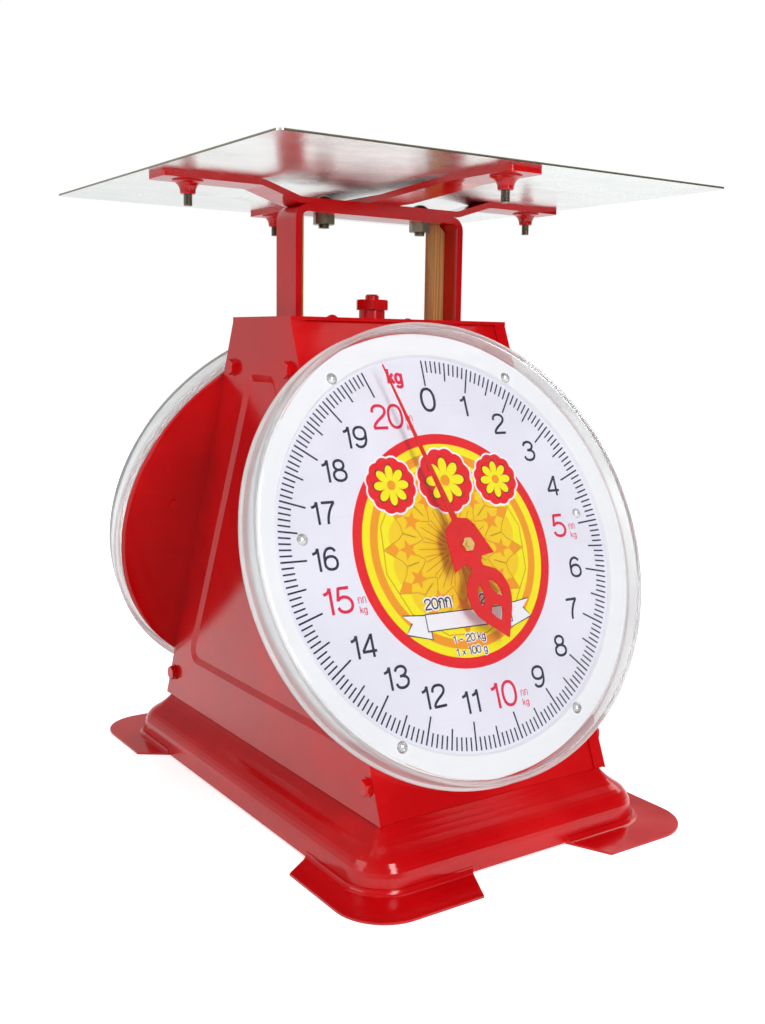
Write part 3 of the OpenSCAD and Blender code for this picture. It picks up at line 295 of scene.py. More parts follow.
def oval(cx, cy, rx, ry, power=2.25):
    """A squared oval: centre + (rx * c, ry * s), where c and s are cos and sin with their sizes
    raised to 2 / power, anticlockwise from the right."""
    a = np.radians(np.linspace(0, 360, 41))
    c, s = np.cos(a), np.sin(a)
    k = 2 / power
    return np.stack([cx + rx * np.sign(c) * np.abs(c) ** k, cy + ry * np.sign(s) * np.abs(s) ** k], -1)


def line(*xy):
    """Straight strokes through corners x, y, x, y ... in hundredths of the figure's height."""
    return np.array(xy, float).reshape(-1, 2) / 100


def bow(*xy):
    """One smooth stroke through such corners."""
    return smooth_path(line(*xy), 8)


WIDEN = 1.18
SIX = [oval(0.32, 0.325, 0.255, 0.275), bow(55.5, 80, 47, 91, 34, 95, 19, 88, 9, 68, 6.5, 34)]
# each figure's advance and its strokes; "n" is the arched letter of the unit marks
FIGURES = {
    "0": (0.64, [oval(0.32, 0.5, 0.262, 0.452)]),
    "1": (0.46, [line(31, 0, 31, 98.5), bow(7, 76, 18, 79, 26, 86, 29.5, 97)]),
    "2": (0.64, [
        bow(7, 68, 10, 83, 20, 93, 33, 95, 47, 92, 56.5, 81, 56, 66, 46, 52, 25, 34, 12, 19, 6.5, 5),
        line(4.5, 5, 60, 5),
    ]),
    "3": (0.64, [
        bow(8, 76, 15, 89, 30, 95, 46, 91, 54, 77, 49, 62, 36, 54.5, 25, 54),
        bow(30, 54, 45, 52, 56.5, 42, 58, 27, 50, 12, 32, 5, 14, 10, 6, 25),
    ]),
    "4": (0.64, [line(47, 0, 47, 98.5), line(45, 93, 5, 29), line(2, 26, 62, 26)]),
    "5": (0.64, [
        line(53, 93, 15, 93),
        line(16.5, 96, 8.5, 47),
        bow(9, 50, 20, 58.5, 34, 60, 49, 53, 57.5, 38, 56.5, 21, 47, 9, 31, 5, 15, 10, 6, 24),
    ]),
    "6": (0.64, SIX),
    "7": (0.62, [line(4, 93, 59, 93), bow(56.5, 92, 43, 73, 32, 50, 24.5, 25, 21.5, 0)]),
    "8": (0.64, [oval(0.32, 0.74, 0.205, 0.21, 2.1), oval(0.32, 0.29, 0.26, 0.24, 2.1)]),
    "9": (0.64, [np.array([0.64, 1.0]) - part for part in SIX]),
    " ": (0.35, []),
    "-": (0.50, [line(8, 42, 42, 42)]),
    "x": (0.50, [line(6, 12, 42, 62), line(6, 62, 42, 12)]),
    "n": (0.62, [
        line(12, 0, 12, 50),
        bow(12, 46, 20, 60, 6, 66, 12, 80, 30, 90, 48, 80, 52, 60),
        line(52, 64, 52, 0),
    ]),
    "k": (0.50, [line(6, 0, 6, 100), line(40, 66, 6, 30), line(17, 42, 43, 0)]),
    "g": (0.52, [
        oval(0.24, 0.34, 0.185, 0.29),
        line(43.5, 68, 43.5, -8),
        bow(43.5, -6, 40, -19, 26, -25, 12, -21, 6, -12),
    ]),
}


def figures(name, entries, top, rear):
    """Printed numbers from their strokes.  Each entry is (text, x, y, height, stroke width): the
    centre lines of its figures are scaled to the height, and by WIDEN across, and set side by side
    about (x, y).  Each becomes a ribbon, centre line +- half the width along its normal, lifted from
    PRINT_FOOT to the height top, less STROKE_STEP for each stroke that went before it, and closed."""
    all_points, all_quads, count = [], [], 0
    for text, x, y, height, width in entries:
        across = np.array([WIDEN, 1.0]) * height
        at = x - sum(FIGURES[c][0] for c in text) * across[0] / 2
        for order, char in enumerate(text):
            advance, lines = FIGURES[char]
            for layer, path in enumerate(lines):
                centre = path * across + np.array([at, y - height / 2])
                closed = bool(np.allclose(centre[0], centre[-1]))
                run = np.concatenate([centre[-2:-1], centre, centre[1:2]]) if closed else centre
                along = np.gradient(run, axis=0)
                along = along[1:-1] if closed else along
                along /= np.linalg.norm(along, axis=1, keepdims=True)
                normal = np.stack([-along[:, 1], along[:, 0]], -1) * width / 2
                if closed:
                    centre, normal = centre[:-1], normal[:-1]
                face = top - layer * STROKE_STEP * MM
                xy = np.stack([centre + normal] * 2 + [centre - normal] * 2, 1)
                lift = np.array([PRINT_FOOT, face, face, PRINT_FOOT])
                all_points.append(dial_points(xy[..., 0], xy[..., 1], lift, rear).reshape(-1, 3))
                quads = grid_quads(len(centre), 4, closed, True)
                if not closed:
                    end = (len(centre) - 1) * 4
                    quads = np.concatenate([quads, [[3, 2, 1, 0], [end, end + 1, end + 2, end + 3]]])
                all_quads.append(quads + count)
                count += len(centre) * 4
            at += advance * across[0]
    return make_piece(name, np.concatenate(all_points), np.concatenate(all_quads))


# finishes


def toned(colour, factor):
    """The colour times a factor, kept opaque."""
    return (*(part * factor for part in colour[:3]), 1.0)


class Tree:
    """Short forms for building a node tree.  Every value is a socket to link or a constant to set."""

    def __init__(self, tree):
        self.tree = tree

    def feed(self, socket, value):
        if hasattr(value, "links"):
            self.tree.links.new(value, socket)
        else:
            socket.default_value = value

    def node(self, kind, inputs, **settings):
        """A node with its settings made and its inputs, by name or number, fed."""
        made = self.tree.nodes.new("ShaderNode" + kind)
        for key, value in settings.items():
            setattr(made, key, value)
        for key, value in inputs.items():
            self.feed(made.inputs[key], value)
        return made

    def mixed(self, factor, a, b, kind="RGBA"):
        """a to b by the factor, as colours or, with the kind FLOAT, as numbers."""
        return self.node("Mix", {"Factor": factor, "A": a, "B": b}, data_type=kind).outputs["Result"]

    def ranged(self, value, lo, hi, from_lo=0.0, from_hi=1.0, kind="LINEAR"):
        """Value carried from from_lo..from_hi to lo..hi."""
        ends = {"Value": value, "From Min": from_lo, "From Max": from_hi, "To Min": lo, "To Max": hi}
        return self.node("MapRange", ends, interpolation_type=kind).outputs["Result"]

    def maths(self, operation, *values):
        return self.node("Math", dict(enumerate(values)), operation=operation).outputs["Value"]

    def vectors(self, operation, *values, output="Value"):
        return self.node("VectorMath", dict(enumerate(values)), operation=operation).outputs[output]

    def noise(self, vector, scale, detail, **more):
        inputs = {"Vector": vector, "Scale": scale, "Detail": detail, **more}
        return self.node("TexNoise", inputs).outputs["Fac"]

    def parts(self, vector):
        """The X, Y and Z outputs of a split vector."""
        return self.node("SeparateXYZ", {"Vector": vector}).outputs


WEAR = ("Blotch", "Speckle", "Streak", "Grain")
ZINC = (srgb(214, 215, 216), srgb(170, 168, 162))


def wear_group():
    """Shared effect: from a point, puts out Blotch (soft broad stains), Speckle (rare dots), Streak
    (long fine lines) and Grain (fine even noise), each 0 to 1."""
    name = "surface_wear"
    if name in bpy.data.node_groups:
        return bpy.data.node_groups[name]
    group = bpy.data.node_groups.new(name, "ShaderNodeTree")
    group.interface.new_socket("Vector", in_out="INPUT", socket_type="NodeSocketVector")
    for out in WEAR:
        group.interface.new_socket(out, in_out="OUTPUT", socket_type="NodeSocketFloat")
    g = Tree(group)
    vector = group.nodes.new("NodeGroupInput").outputs["Vector"]
    leave = group.nodes.new("NodeGroupOutput").inputs
    drawn = g.node("Mapping", {"Vector": vector, "Scale": (0.25, 9.0, 9.0)}).outputs["Vector"]
    for out, value, lo, hi in (
        ("Blotch", g.noise(vector, 14, 4, Roughness=0.55), 0.35, 0.68),
        ("Speckle", g.noise(vector, 420, 2, Roughness=0.6), 0.70, 0.76),
        ("Streak", g.noise(drawn, 60, 3, Roughness=0.6), 0.52, 0.72),
    ):
        g.feed(leave[out], g.ranged(value, 0.0, 1.0, lo, hi, "SMOOTHSTEP"))
    g.feed(leave["Grain"], g.noise(vector, 1100, 2, Roughness=0.5))
    return group


class Finish(Tree):
    """A node finish: its material and shader, the object coordinates and the shared wear masks."""

    def __init__(self, name, scale=(1, 1, 1)):
        self.material = bpy.data.materials.new(name)
        self.material.use_nodes = True
        super().__init__(self.material.node_tree)
        self.shader = self.tree.nodes["Principled BSDF"]
        coords = self.node("TexCoord", {}).outputs["Object"]
        self.vector = self.node("Mapping", {"Vector": coords, "Scale": scale}).outputs["Vector"]
        wear = self.node("Group", {}, node_tree=wear_group())
        self.feed(wear.inputs["Vector"], self.vector)
        self.blotch, self.speckle, self.streak, self.grain = (wear.outputs[name] for name in WEAR)

    def fill(self, inputs):
        """Feeds the shader's inputs by name."""
        for key, value in inputs.items():
            self.feed(self.shader.inputs[key], value)

    def coat(self, colour, rough, height, strength, distance, more=()):
        """Colour, roughness, a bump from the height and any more inputs; gives back the material."""
        bump = self.node("Bump", {"Height": height, "Strength": strength, "Distance": distance})
        self.fill({"Base Color": colour, "Roughness": rough, "Normal": bump.outputs["Normal"]})
        self.fill(dict(more))
        return self.material

    def show(self, shader):
        """Makes another shader's output the surface of the material."""
        self.feed(self.tree.nodes["Material Output"].inputs["Surface"], shader)

    def axis_distance(self, rear):
        """Distance from the pointer axis: the length of the offset with its outward part taken off."""
        sign = -1 if rear else 1
        offset = self.vectors("SUBTRACT", self.vector, (0, sign * AXIS[1], AXIS[2]), output="Vector")
        part = self.vectors("PROJECT", offset, (0, sign * OUTWARD[1], OUTWARD[2]), output="Vector")
        return self.vectors("DISTANCE", offset, part)

    def outward_distance(self, rear):
        """Height w above the sloping face: the outward part of a point less that of the axis point."""
        sign = -1 if rear else 1
        dot = self.vectors("DOT_PRODUCT", self.vector, (0, sign * OUTWARD[1], OUTWARD[2]))
        foot = float(AXIS @ OUTWARD)
        return self.ranged(dot, 0, 1, foot, foot + 1)


def enamel_finish():
    """Glossy casing paint: slow change of depth, dusty haze, orange-peel ripple and a few small chips."""
    f = Finish("casing_enamel")
    base = colours().enamel
    shade = f.mixed(f.blotch, toned(base, 0.88), toned(base, 1.08))
    dull = f.mixed(f.ranged(f.streak, 0, 0.05), shade, srgb(205, 70, 70))
    chips = f.mixed(f.ranged(f.speckle, 0, 0.55), dull, srgb(90, 10, 12))
    gloss = {"Specular IOR Level": 0.40, "Coat Weight": 0.15, "Coat Roughness": 0.06}
    peel = f.noise(f.vector, 260, 1.5)
    return f.coat(chips, f.ranged(f.blotch, 0.10, 0.24), peel, 0.10, 0.0004, gloss)


def pointer_finish():
    """Satin pointer paint, a touch lighter than the casing, with small scuffs."""
    f = Finish("pointer_satin")
    base = colours().pointer
    shade = f.mixed(f.blotch, toned(base, 0.9), toned(base, 1.06))
    scuffed = f.mixed(f.ranged(f.speckle, 0, 0.4), shade, srgb(140, 12, 16))
    rough = f.ranged(f.grain, 0.28, 0.44)
    return f.coat(scuffed, rough, f.grain, 0.06, 0.0002, {"Specular IOR Level": 0.28})


def metal_finish(name, light, dark, rough_lo, rough_hi, bump=0.05):
    """Bare metal: two tones over broad stains, drawn streaks in colour and roughness, fine grain."""
    f = Finish(name)
    shade = f.mixed(f.ranged(f.blotch, 0, 0.5), light, dark)
    spots = f.mixed(f.ranged(f.streak, 0, 0.35), shade, toned(dark, 0.9))
    rough = f.ranged(f.streak, rough_lo, rough_hi)
    return f.coat(spots, rough, f.grain, bump, 0.0002, {"Metallic": 1.0})


def platter_finish():
    """Pale satin sheet: mottled, with painted shade in dark patches that gather near the middle,
    over the parts below it, faint drawn streaks, and a dark cut edge, where the larger of |x| /
    half width and |y| / half depth comes up to 1. The top is duller, scoured by use."""
    f = Finish("platter_sheet")
    split = f.parts(f.vector)
    reach = f.maths("MAXIMUM", *(
        f.maths("ABSOLUTE", f.ranged(split[part], -1 / half, 1 / half, -1, 1))
        for part, half in (("X", PLATTER_HI.x), ("Y", PLATTER_HI.y))
    ))
    patch_noise = f.noise(f.vector, 22, 5, Distortion=1.2)
    middle = f.ranged(reach, 0.62, 0.0, 0.15, 0.75)
    # painted shade: dark patches, strongest over the middle where the arms, yoke and casing top lie under
    # the sheet
    painted_shade = f.maths("MULTIPLY", f.ranged(patch_noise, 0.0, 1.0, 0.46, 0.66), middle)
    shade = f.mixed(f.blotch, srgb(244, 248, 246), srgb(230, 235, 233))
    drawn = f.mixed(f.ranged(f.streak, 0, 0.3), shade, srgb(190, 195, 194))
    # the dark purplish grey of the painted shade
    dull = f.mixed(painted_shade, drawn, srgb(118, 112, 116))
    edged = f.mixed(f.ranged(reach, 0, 1, 0.9983, 0.9990), dull, srgb(150, 147, 126))
    metal = f.ranged(split["Z"], 1.0, 0.45, PLATTER_LO.z, PLATTER_HI.z)
    return f.coat(edged, f.ranged(f.blotch, 0.21, 0.34), patch_noise, 0.22, 0.0012, {"Metallic": metal})


def wood_finish():
    """Plain wooden strip: growth lines as a banded wave bent by noise, along the upright grain."""
    f = Finish("strip_wood", scale=(1, 1, 0.12))
    wave = {"Vector": f.vector, "Scale": 130, "Distortion": 5, "Detail": 3, "Detail Scale": 1.4}
    rings = f.node("TexWave", wave).outputs["Fac"]
    tone = f.mixed(rings, srgb(178, 124, 64), srgb(212, 164, 98))
    stained = f.mixed(f.ranged(f.blotch, 0, 0.4), tone, srgb(150, 96, 52))
    return f.coat(stained, f.ranged(rings, 0.75, 0.55), rings, 0.25, 0.0004)


def dial_sheet_finish(rear, label):
    """Printed dial sheet: lavender white up to the tick ring and plain white on the raised band,
    by the distance from the pointer axis, with faint unevenness under a satin lacquer."""
    f = Finish("dial_sheet_" + label)
    middle = tuple(colours().dial_white)
    soft = f.mixed(f.blotch, middle, toned(middle, 0.95))
    edge = f.ranged(f.axis_distance(rear), 0, 1, 0.1096, 0.1106)
    sheet = f.mixed(edge, soft, srgb(247, 247, 250))
    rough = f.ranged(f.grain, 0.34, 0.46)
    return f.coat(sheet, rough, f.grain, 0.03, 0.0002, {"Specular IOR Level": 0.25})


def ink_finish(name, colour):
    """Printing ink: the colour with a slight mottle from the screen and a satin face."""
    f = Finish(name)
    ink = f.mixed(f.grain, toned(colour, 0.93), toned(colour, 1.05))
    rough = f.ranged(f.blotch, 0.36, 0.48)
    return f.coat(ink, rough, f.grain, 0.03, 0.0001, {"Specular IOR Level": 0.2})


def cover_finish(rear, label):
    """Clear moulded plastic: see-through over the dial, with a painted reflection in white where its
    rim turns down that stands in for the bright surroundings seen in the clear wall, and a
    faint haze of wiping marks; shadow and diffuse light passes straight through it."""
    f = Finish("cover_clear_" + label)
    clear = f.mixed(f.blotch, srgb(252, 253, 253), srgb(248, 249, 250))
    glass = {"Transmission Weight": 1.0, "IOR": 1.25}
    f.coat(clear, f.ranged(f.streak, 0.02, 0.06), f.blotch, 0.015, 0.0004, glass)
    # painted reflection: a pale matte shader that stands in for the bright surroundings reflected in and
    # seen through the clear rim
    painted_rim_reflection = f.node("BsdfPrincipled", {
        "Base Color": f.mixed(f.blotch, srgb(232, 235, 235), srgb(216, 219, 219)),
        "Roughness": f.ranged(f.grain, 0.18, 0.3),
    })
    # the painted reflection covers up to half of the turned-down rim; the haze of wiping marks adds a
    # little everywhere
    rim = f.ranged(f.axis_distance(rear), 0.0, 0.50, 0.1232, 0.1264)
    haze = f.ranged(f.streak, 0.004, 0.02)
    reflection_and_haze = f.node("MixShader", {
        "Fac": f.maths("ADD", rim, haze), 1: f.shader.outputs["BSDF"], 2: painted_rim_reflection.outputs["BSDF"],
    })
    straight = f.node("BsdfTransparent", {"Color": (0.97, 0.975, 0.98, 1)})
    path = f.node("LightPath", {}).outputs
    either = f.node("MixShader", {
        "Fac": f.maths("MAXIMUM", path["Is Shadow Ray"], path["Is Diffuse Ray"]),
        1: reflection_and_haze.outputs["Shader"], 2: straight.outputs["BSDF"],
    })
    f.show(either.outputs["Shader"])
    return f.material


def rivet_finish(rear, label):
    """Rivet through the dial: bright zinc on its head and the casing's paint on its back, by the
    height above the sloping face."""
    f = Finish("rivet_" + label)
    enamel = tuple(colours().enamel)
    head = f.ranged(f.outward_distance(rear), 0, 1, 0.0012, 0.0016)
    zinc = f.mixed(f.blotch, *ZINC)
    paint = f.mixed(f.blotch, enamel, toned(enamel, 0.85))
    rough = f.ranged(f.streak, 0.16, 0.32)
    return f.coat(f.mixed(head, paint, zinc), rough, f.grain, 0.05, 0.0002, {"Metallic": head})


def pair(*parts):
    """The front and the rear node of each part."""
    return [f"{label}_{part}" for part in parts for _, label in DIALS]


def dress(nodes, material):
    """Puts one finish in every material slot of the named CAD nodes."""
    for node in nodes:
        mesh = NODES[node].data
        if not mesh.materials:
            mesh.materials.append(material)
        for i in range(len(mesh.materials)):
            mesh.materials[i] = material


def place_piece(piece, material, stands_for=None):
    """Finishes a new piece, rides it on the casing and hides the CAD node it stands for."""
    piece.data.materials.append(material)
    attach(piece, "casing")
    if stands_for:
        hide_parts(stands_for)


# operators


class SCALE_OT_enamel(bpy.types.Operator):
    """Paints the casing, base, platform arms and fasteners with glossy enamel"""

    bl_idname = "scale_dress.enamel"
    bl_label = "Casing enamel"

    def execute(self, context):
        dress([
            "base_pan", "base_feet", "base_angles", "side_panel_left", "side_panel_right",
            *pair("panel", "back_pan"), "top_plate", "panel_screws", "top_rivets", "zero_collar",
            "stud_cone_nuts", "cross_arm_x", "cross_arm_y", "yoke", "zero_nut", "hanger_bolt",
        ], enamel_finish())
        return {"FINISHED"}


class SCALE_OT_metals(bpy.types.Operator):
    """Gives the screws, brackets, links, shafts, racks and pinions their bare metals"""

    bl_idname = "scale_dress.metals"
    bl_label = "Bare metals"

    def execute(self, context):
        for name, light, dark, rough_lo, rough_hi, nodes in (
            ("bright_zinc", *ZINC, 0.16, 0.32, [
                *pair("dial_screws", "dial_hardware"), "bracket_rivets", "beam_screws",
            ]),
            ("plain_steel", srgb(186, 187, 190), srgb(130, 126, 120), 0.25, 0.45, [
                *pair("movement_bracket"), "link_brackets", "link_shafts", "yoke_link_pins",
                "spring_beam", "rack_carriers", "upper_link", "lower_link", "hanger_bar",
            ]),
            ("turned_brass", srgb(236, 205, 128), srgb(186, 146, 78), 0.30, 0.48, [
                *pair("rack", "pointer_shaft", "pinion", "hub_nut"), "shaft_bushes",
            ]),
            ("dark_steel", srgb(136, 128, 116), srgb(88, 82, 74), 0.30, 0.50, ["platter_studs"]),
            ("olive_steel", srgb(146, 140, 120), srgb(92, 87, 72), 0.30, 0.50, ["yoke_bolts", "yoke_nuts"]),
        ):
            dress(nodes, metal_finish(name, light, dark, rough_lo, rough_hi))
        for rear, label in DIALS:
            dress([label + "_face_rivets"], rivet_finish(rear, label))
        return {"FINISHED"}


class SCALE_OT_platter(bpy.types.Operator):
    """Gives the platter its pale satin sheet"""

    bl_idname = "scale_dress.platter"
    bl_label = "Platter sheet"

    def execute(self, context):
        dress(["platter"], platter_finish())
        return {"FINISHED"}


class SCALE_OT_strips(bpy.types.Operator):
    """Gives the packing strips their wood grain"""

    bl_idname = "scale_dress.strips"
    bl_label = "Packing strips"

    def execute(self, context):
        dress(["packing_strips"], wood_finish())
        return {"FINISHED"}


class SCALE_OT_dial_sheets(bpy.types.Operator):
    """Gives both dial sheets their white print and both pointers their paint"""

    bl_idname = "scale_dress.dial_sheets"
    bl_label = "Dial sheets and pointers"

    def execute(self, context):
        for rear, label in DIALS:
            dress([label + "_dial_plate"], dial_sheet_finish(rear, label))
        dress(pair("pointer"), pointer_finish())
        return {"FINISHED"}


class SCALE_OT_ticks(bpy.types.Operator):
    """Prints the 0.1 kg, 0.5 kg and 1 kg ticks of both dials"""

    bl_idname = "scale_dress.ticks"
    bl_label = "Scale ticks"

    def execute(self, context):
        s = sizes()
        ink = ink_finish("ink_ticks", colours().ink_navy)
        step = np.arange(201)
        angle = s.zero_angle + s.kilogram_angle * step / 10
        rank = np.where(step % 10 == 0, 0, np.where(step % 5 == 0, 1, 2))
        inner, half = TICK_INNER[rank], TICK_HALF[rank]
        out = np.stack([np.sin(angle), np.cos(angle)], -1)
        side = np.stack([np.cos(angle), -np.sin(angle)], -1)
        low, high = inner[:, None] * out, s.tick_outer * out
        across = half[:, None] * side
        corners = np.stack([low - across, low + across, high + across, high - across], 1)
        for rear, label in DIALS:
            piece = plates(label + "_scale_ticks", corners, PRINT_FACE + s.print_thickness, rear)
            place_piece(piece, ink)
        return {"FINISHED"}


class SCALE_OT_numerals(bpy.types.Operator):
    """Prints the upright numbers 0 to 20 and the small unit marks of both dials"""

    bl_idname = "scale_dress.numerals"
    bl_label = "Numerals"

    def execute(self, context):
        s = sizes()
        navy = ink_finish("ink_numerals", colours().ink_navy)
        crimson = ink_finish("ink_accents", colours().ink_crimson)
        plain, accent, small = [], [], []
        # the marks beside a crimson number: text, drop, height and stroke
        marks = (("nn", 0.0012, 0.0036, 0.00042), ("kg", 0.0062, 0.0038, 0.00048))
        beside_one, beside_two, inset = 0.0099, 0.0141, 0.00125
        for value in range(21):
            if value in ACCENT_PLACES:
                x, y = ACCENT_PLACES[value]
                accent.append((str(value), x, y, s.accent_height, s.accent_height * NUMERAL_STROKE))
                side = x + (beside_one if value < 10 else beside_two)
                small += [(text, side, y - drop, *form) for text, drop, *form in marks]
                continue
            radius = s.numeral_radius + (inset if value < 10 else -inset)
            angle = s.zero_angle + s.kilogram_angle * value
            height = s.numeral_height if value else s.accent_height
            x, y = radius * math.sin(angle), radius * math.cos(angle)
            plain.append((str(value), x, y, height, height * NUMERAL_STROKE))
        turn, far = s.zero_angle - math.radians(11.4), 0.0995
        accent.append(("kg", far * math.sin(turn), far * math.cos(turn) + 0.0012, 0.0084, 0.0019))
        for rear, label in DIALS:
            for part, entries, ink in (
                ("numerals", plain, navy),
                ("accent_numerals", accent, crimson),
                ("small_marks", small, crimson),
            ):
                piece = figures(f"{label}_{part}", entries, PRINT_FACE + s.print_thickness, rear)
                place_piece(piece, ink)
        return {"FINISHED"}


class SCALE_OT_emblem(bpy.types.Operator):
    """Prints a plain star pattern, three flowers and an empty ribbon inside coloured rings"""

    bl_idname = "scale_dress.emblem"
    bl_label = "Dial rosette"

    def execute(self, context):
        c = colours()
        self.inks = {name: ink_finish("ink_" + name, colour) for name, colour in (
            ("red", c.ink_red), ("yellow", c.ink_yellow), ("gold", srgb(250, 208, 22)),
            ("orange", c.ink_orange), ("line", srgb(222, 160, 16)), ("white", srgb(247, 245, 250)),
            ("dark", srgb(44, 38, 62)), ("brown", srgb(120, 36, 16)),
        )}
        for self.rear, self.label in DIALS:
            self.rings()
            self.stars()
            self.flowers()
            self.ribbon()
        return {"FINISHED"}

    def put(self, part, ink, layer, build, *shape):
        """One print layer, EMBLEM_STEP above the one before."""
        top = (EMBLEM_FACE + EMBLEM_STEP * layer) * MM
        piece = build(f"{self.label}_emblem_{part}", *shape, top, self.rear)
        place_piece(piece, self.inks[ink])

    def rings(self):
        """Red, yellow and orange rings round a gold field with a yellow border."""
        big = sizes().emblem_radius
        a = np.linspace(0, 2 * math.pi, 360, endpoint=False)
        scallop = 0.0405 + 0.0028 * np.abs(np.sin(6 * a))
        for part, ink, layer, inner, outer in (
            ("field", "yellow", 0, 0.002, big - 0.0052),
            ("ring", "red", 1, big - 0.0058, big),
            ("orange_ring", "orange", 1, 0.0500, 0.0548),
            ("gold_field", "gold", 1, 0.0025, scallop),
        ):
            self.put(part, ink, layer, ring, a, inner, outer)

    def stars(self):
        """Twelve stars and kites, and fine lines: rays, zigzags and an outer band."""
        spokes = np.arange(12) * math.pi / 6 + math.radians(4)
        five = np.arange(10) * math.pi / 5
        points = np.where(np.arange(10) % 2, 0.0026, 0.0060)
        four = np.arange(4) * math.pi / 2
        corners = np.array([0.0052, 0.0042, 0.0038, 0.0042])
        stars, kites, lines = [], [], []
        for turn in spokes:
            x, y = math.sin(turn), math.cos(turn)
            stars.append(polar(0.031 * x, 0.031 * y, points, five + turn))
            kites.append(polar(0.0405 * x, 0.0405 * y, corners, turn + four))
            lines.append((0.0060, 0.0245, turn, turn))
            for way in (-1, 1):
                half = turn + way * math.pi / 12
                near = turn + way * math.pi / 20
                lines += [
                    (0.0085, 0.0215, half, turn + way * math.pi / 16),
                    (0.0265, 0.0215, turn + way * math.pi / 30, half),
                    (0.0262, 0.0345, half, half),
                    (0.0345, 0.0368, half, near),
                    (0.0368, 0.0468, near, turn),
                    (0.0468, 0.0485, turn, half),
                ]
        self.put("stars", "orange", 2, patches, stars)
        self.put("kites", "orange", 2, patches, kites)
        ends = np.array(lines)
        low = ends[:, :1] * np.stack([np.sin(ends[:, 2]), np.cos(ends[:, 2])], -1)
        high = ends[:, 1:2] * np.stack([np.sin(ends[:, 3]), np.cos(ends[:, 3])], -1)
        along = high - low
        normal = np.stack([-along[:, 1], along[:, 0]], -1)
        side = normal / np.linalg.norm(along, axis=1, keepdims=True) * 0.0003
        strips = np.stack([low - side, low + side, high + side, high - side], 1)
        self.put("lines", "line", 3, plates, strips)

    def flowers(self):
        """Three scalloped red discs with white borders; each holds a yellow flower of the radius
        size * 0.70 * (0.42 + 0.58 * |cos 4a| to the power 0.6) on a slightly larger brown one."""
        a = np.linspace(0, 2 * math.pi, 192, endpoint=False)
        wave = np.abs(np.sin(6 * a))
        petal = np.abs(np.cos(4 * a)) ** 0.6
        borders, discs, shades, blooms, hearts = [], [], [], [], []
        for x, y, size in ((-0.0340, 0.0378, 0.0158), (0.0376, 0.0372, 0.0150), (0.0022, 0.0386, 0.0184)):
            disc = size * (0.93 + 0.07 * wave)
            bloom = size * 0.70 * (0.42 + 0.58 * petal)
            borders.append(polar(x, y, disc + 0.0011, a))
            discs.append(polar(x, y, disc, a))
            shades.append(polar(x, y, bloom + 0.0009, a))
            blooms.append(polar(x, y, bloom, a))
            hearts.append(polar(x, y, size * 0.17, a))
        for order, layer in enumerate((4, 4, 6)):
            self.put(f"border_{order + 1}", "white", layer, patches, [borders[order]])
            self.put(f"disc_{order + 1}", "red", layer + 1, patches, [discs[order]])
        self.put("petal_shades", "brown", 8, patches, shades)
        self.put("petals", "yellow", 9, patches, blooms)
        self.put("hearts", "orange", 10, patches, hearts)

    def ribbon(self):
        """An empty white ribbon with dark outlines and swallow tails, weights above and below."""
        tail = line(2700, -3400, 4270, -3240, 3760, -3700, 4220, -4200, 2700, -4640, 2700, -4100) * MM
        band = line(-2840, -3340, 2840, -3460, 2840, -4320, -2840, -4200) * MM
        mirror = np.array([-1.0, 1.0])
        white, dark = [], []
        for centre, outline in (
            (np.array([0.0315, -0.0389]), tail),
            (np.array([-0.0315, -0.0389]), tail * mirror),
            (np.array([0.0, -0.0383]), band),
        ):
            white.append((centre, outline))
            dark.append((centre, outline + np.sign(outline - centre) * 0.0006))
        self.put("tail_line", "dark", 4, patches, dark[:2])
        self.put("tails", "white", 5, patches, white[:2])
        self.put("band_line", "dark", 6, patches, dark[2:])
        self.put("band", "white", 7, patches, white[2:])
        words = (
            ("20nn", -0.0190, -0.0280, 0.0060), ("20kg", 0.0165, -0.0290, 0.0056),
            ("1 - 20 kg", -0.0030, -0.0486, 0.0043), ("1 x 100 g", -0.0030, -0.0555, 0.0042),
        )
        self.put("word_halo", "white", 4, figures, [(*word, word[3] * 0.42) for word in words])
        self.put("words", "dark", 5, figures, [(*word, word[3] * 0.14) for word in words])


class SCALE_OT_covers(bpy.types.Operator):
    """Moulds the clear domed covers that stand for the plain CAD ones"""

    bl_idname = "scale_dress.covers"
    bl_label = "Clear covers"

    def execute(self, context):
        """The section in mm: the dome is top - bulge * (r / outer) squared outside and one wall lower
        inside, both turn down over a round bend, and a lip goes round the foot."""
        top, thick, bulge, outer, inner, lip = 20.4, 2.0, 4.0, 127.0, 124.6, 128.6
        bend_out, bend_in, edge, foot = 1.7, 1.3, 0.5, 0.6
        r_out = np.linspace(0, outer - 1.8, 40)
        r_in = np.linspace(inner - 1.4, 0, 40)
        profile = np.concatenate([
            np.stack([r_out, top - bulge * (r_out / outer) ** 2], -1),
            arc(outer - bend_out, top - bulge - bend_out, bend_out, 88, 0, 7),
            [[outer, 3.9]],
            arc(lip - edge, 3.0, edge, 90, 0, 4),
            arc(lip - edge, 2.0, edge, 0, -90, 4),
            [[outer, 1.5], [outer, foot], [inner, foot], [inner, 8.0]],
            arc(inner - bend_in, top - thick - bulge - bend_in, bend_in, 0, 86, 6),
            np.stack([r_in, top - thick - bulge * (r_in / outer) ** 2], -1),
        ]) * MM
        for rear, label in DIALS:
            piece = lathe(label + "_clear_cover", profile, 192, rear)
            place_piece(piece, cover_finish(rear, label), label + "_cover")
        return {"FINISHED"}


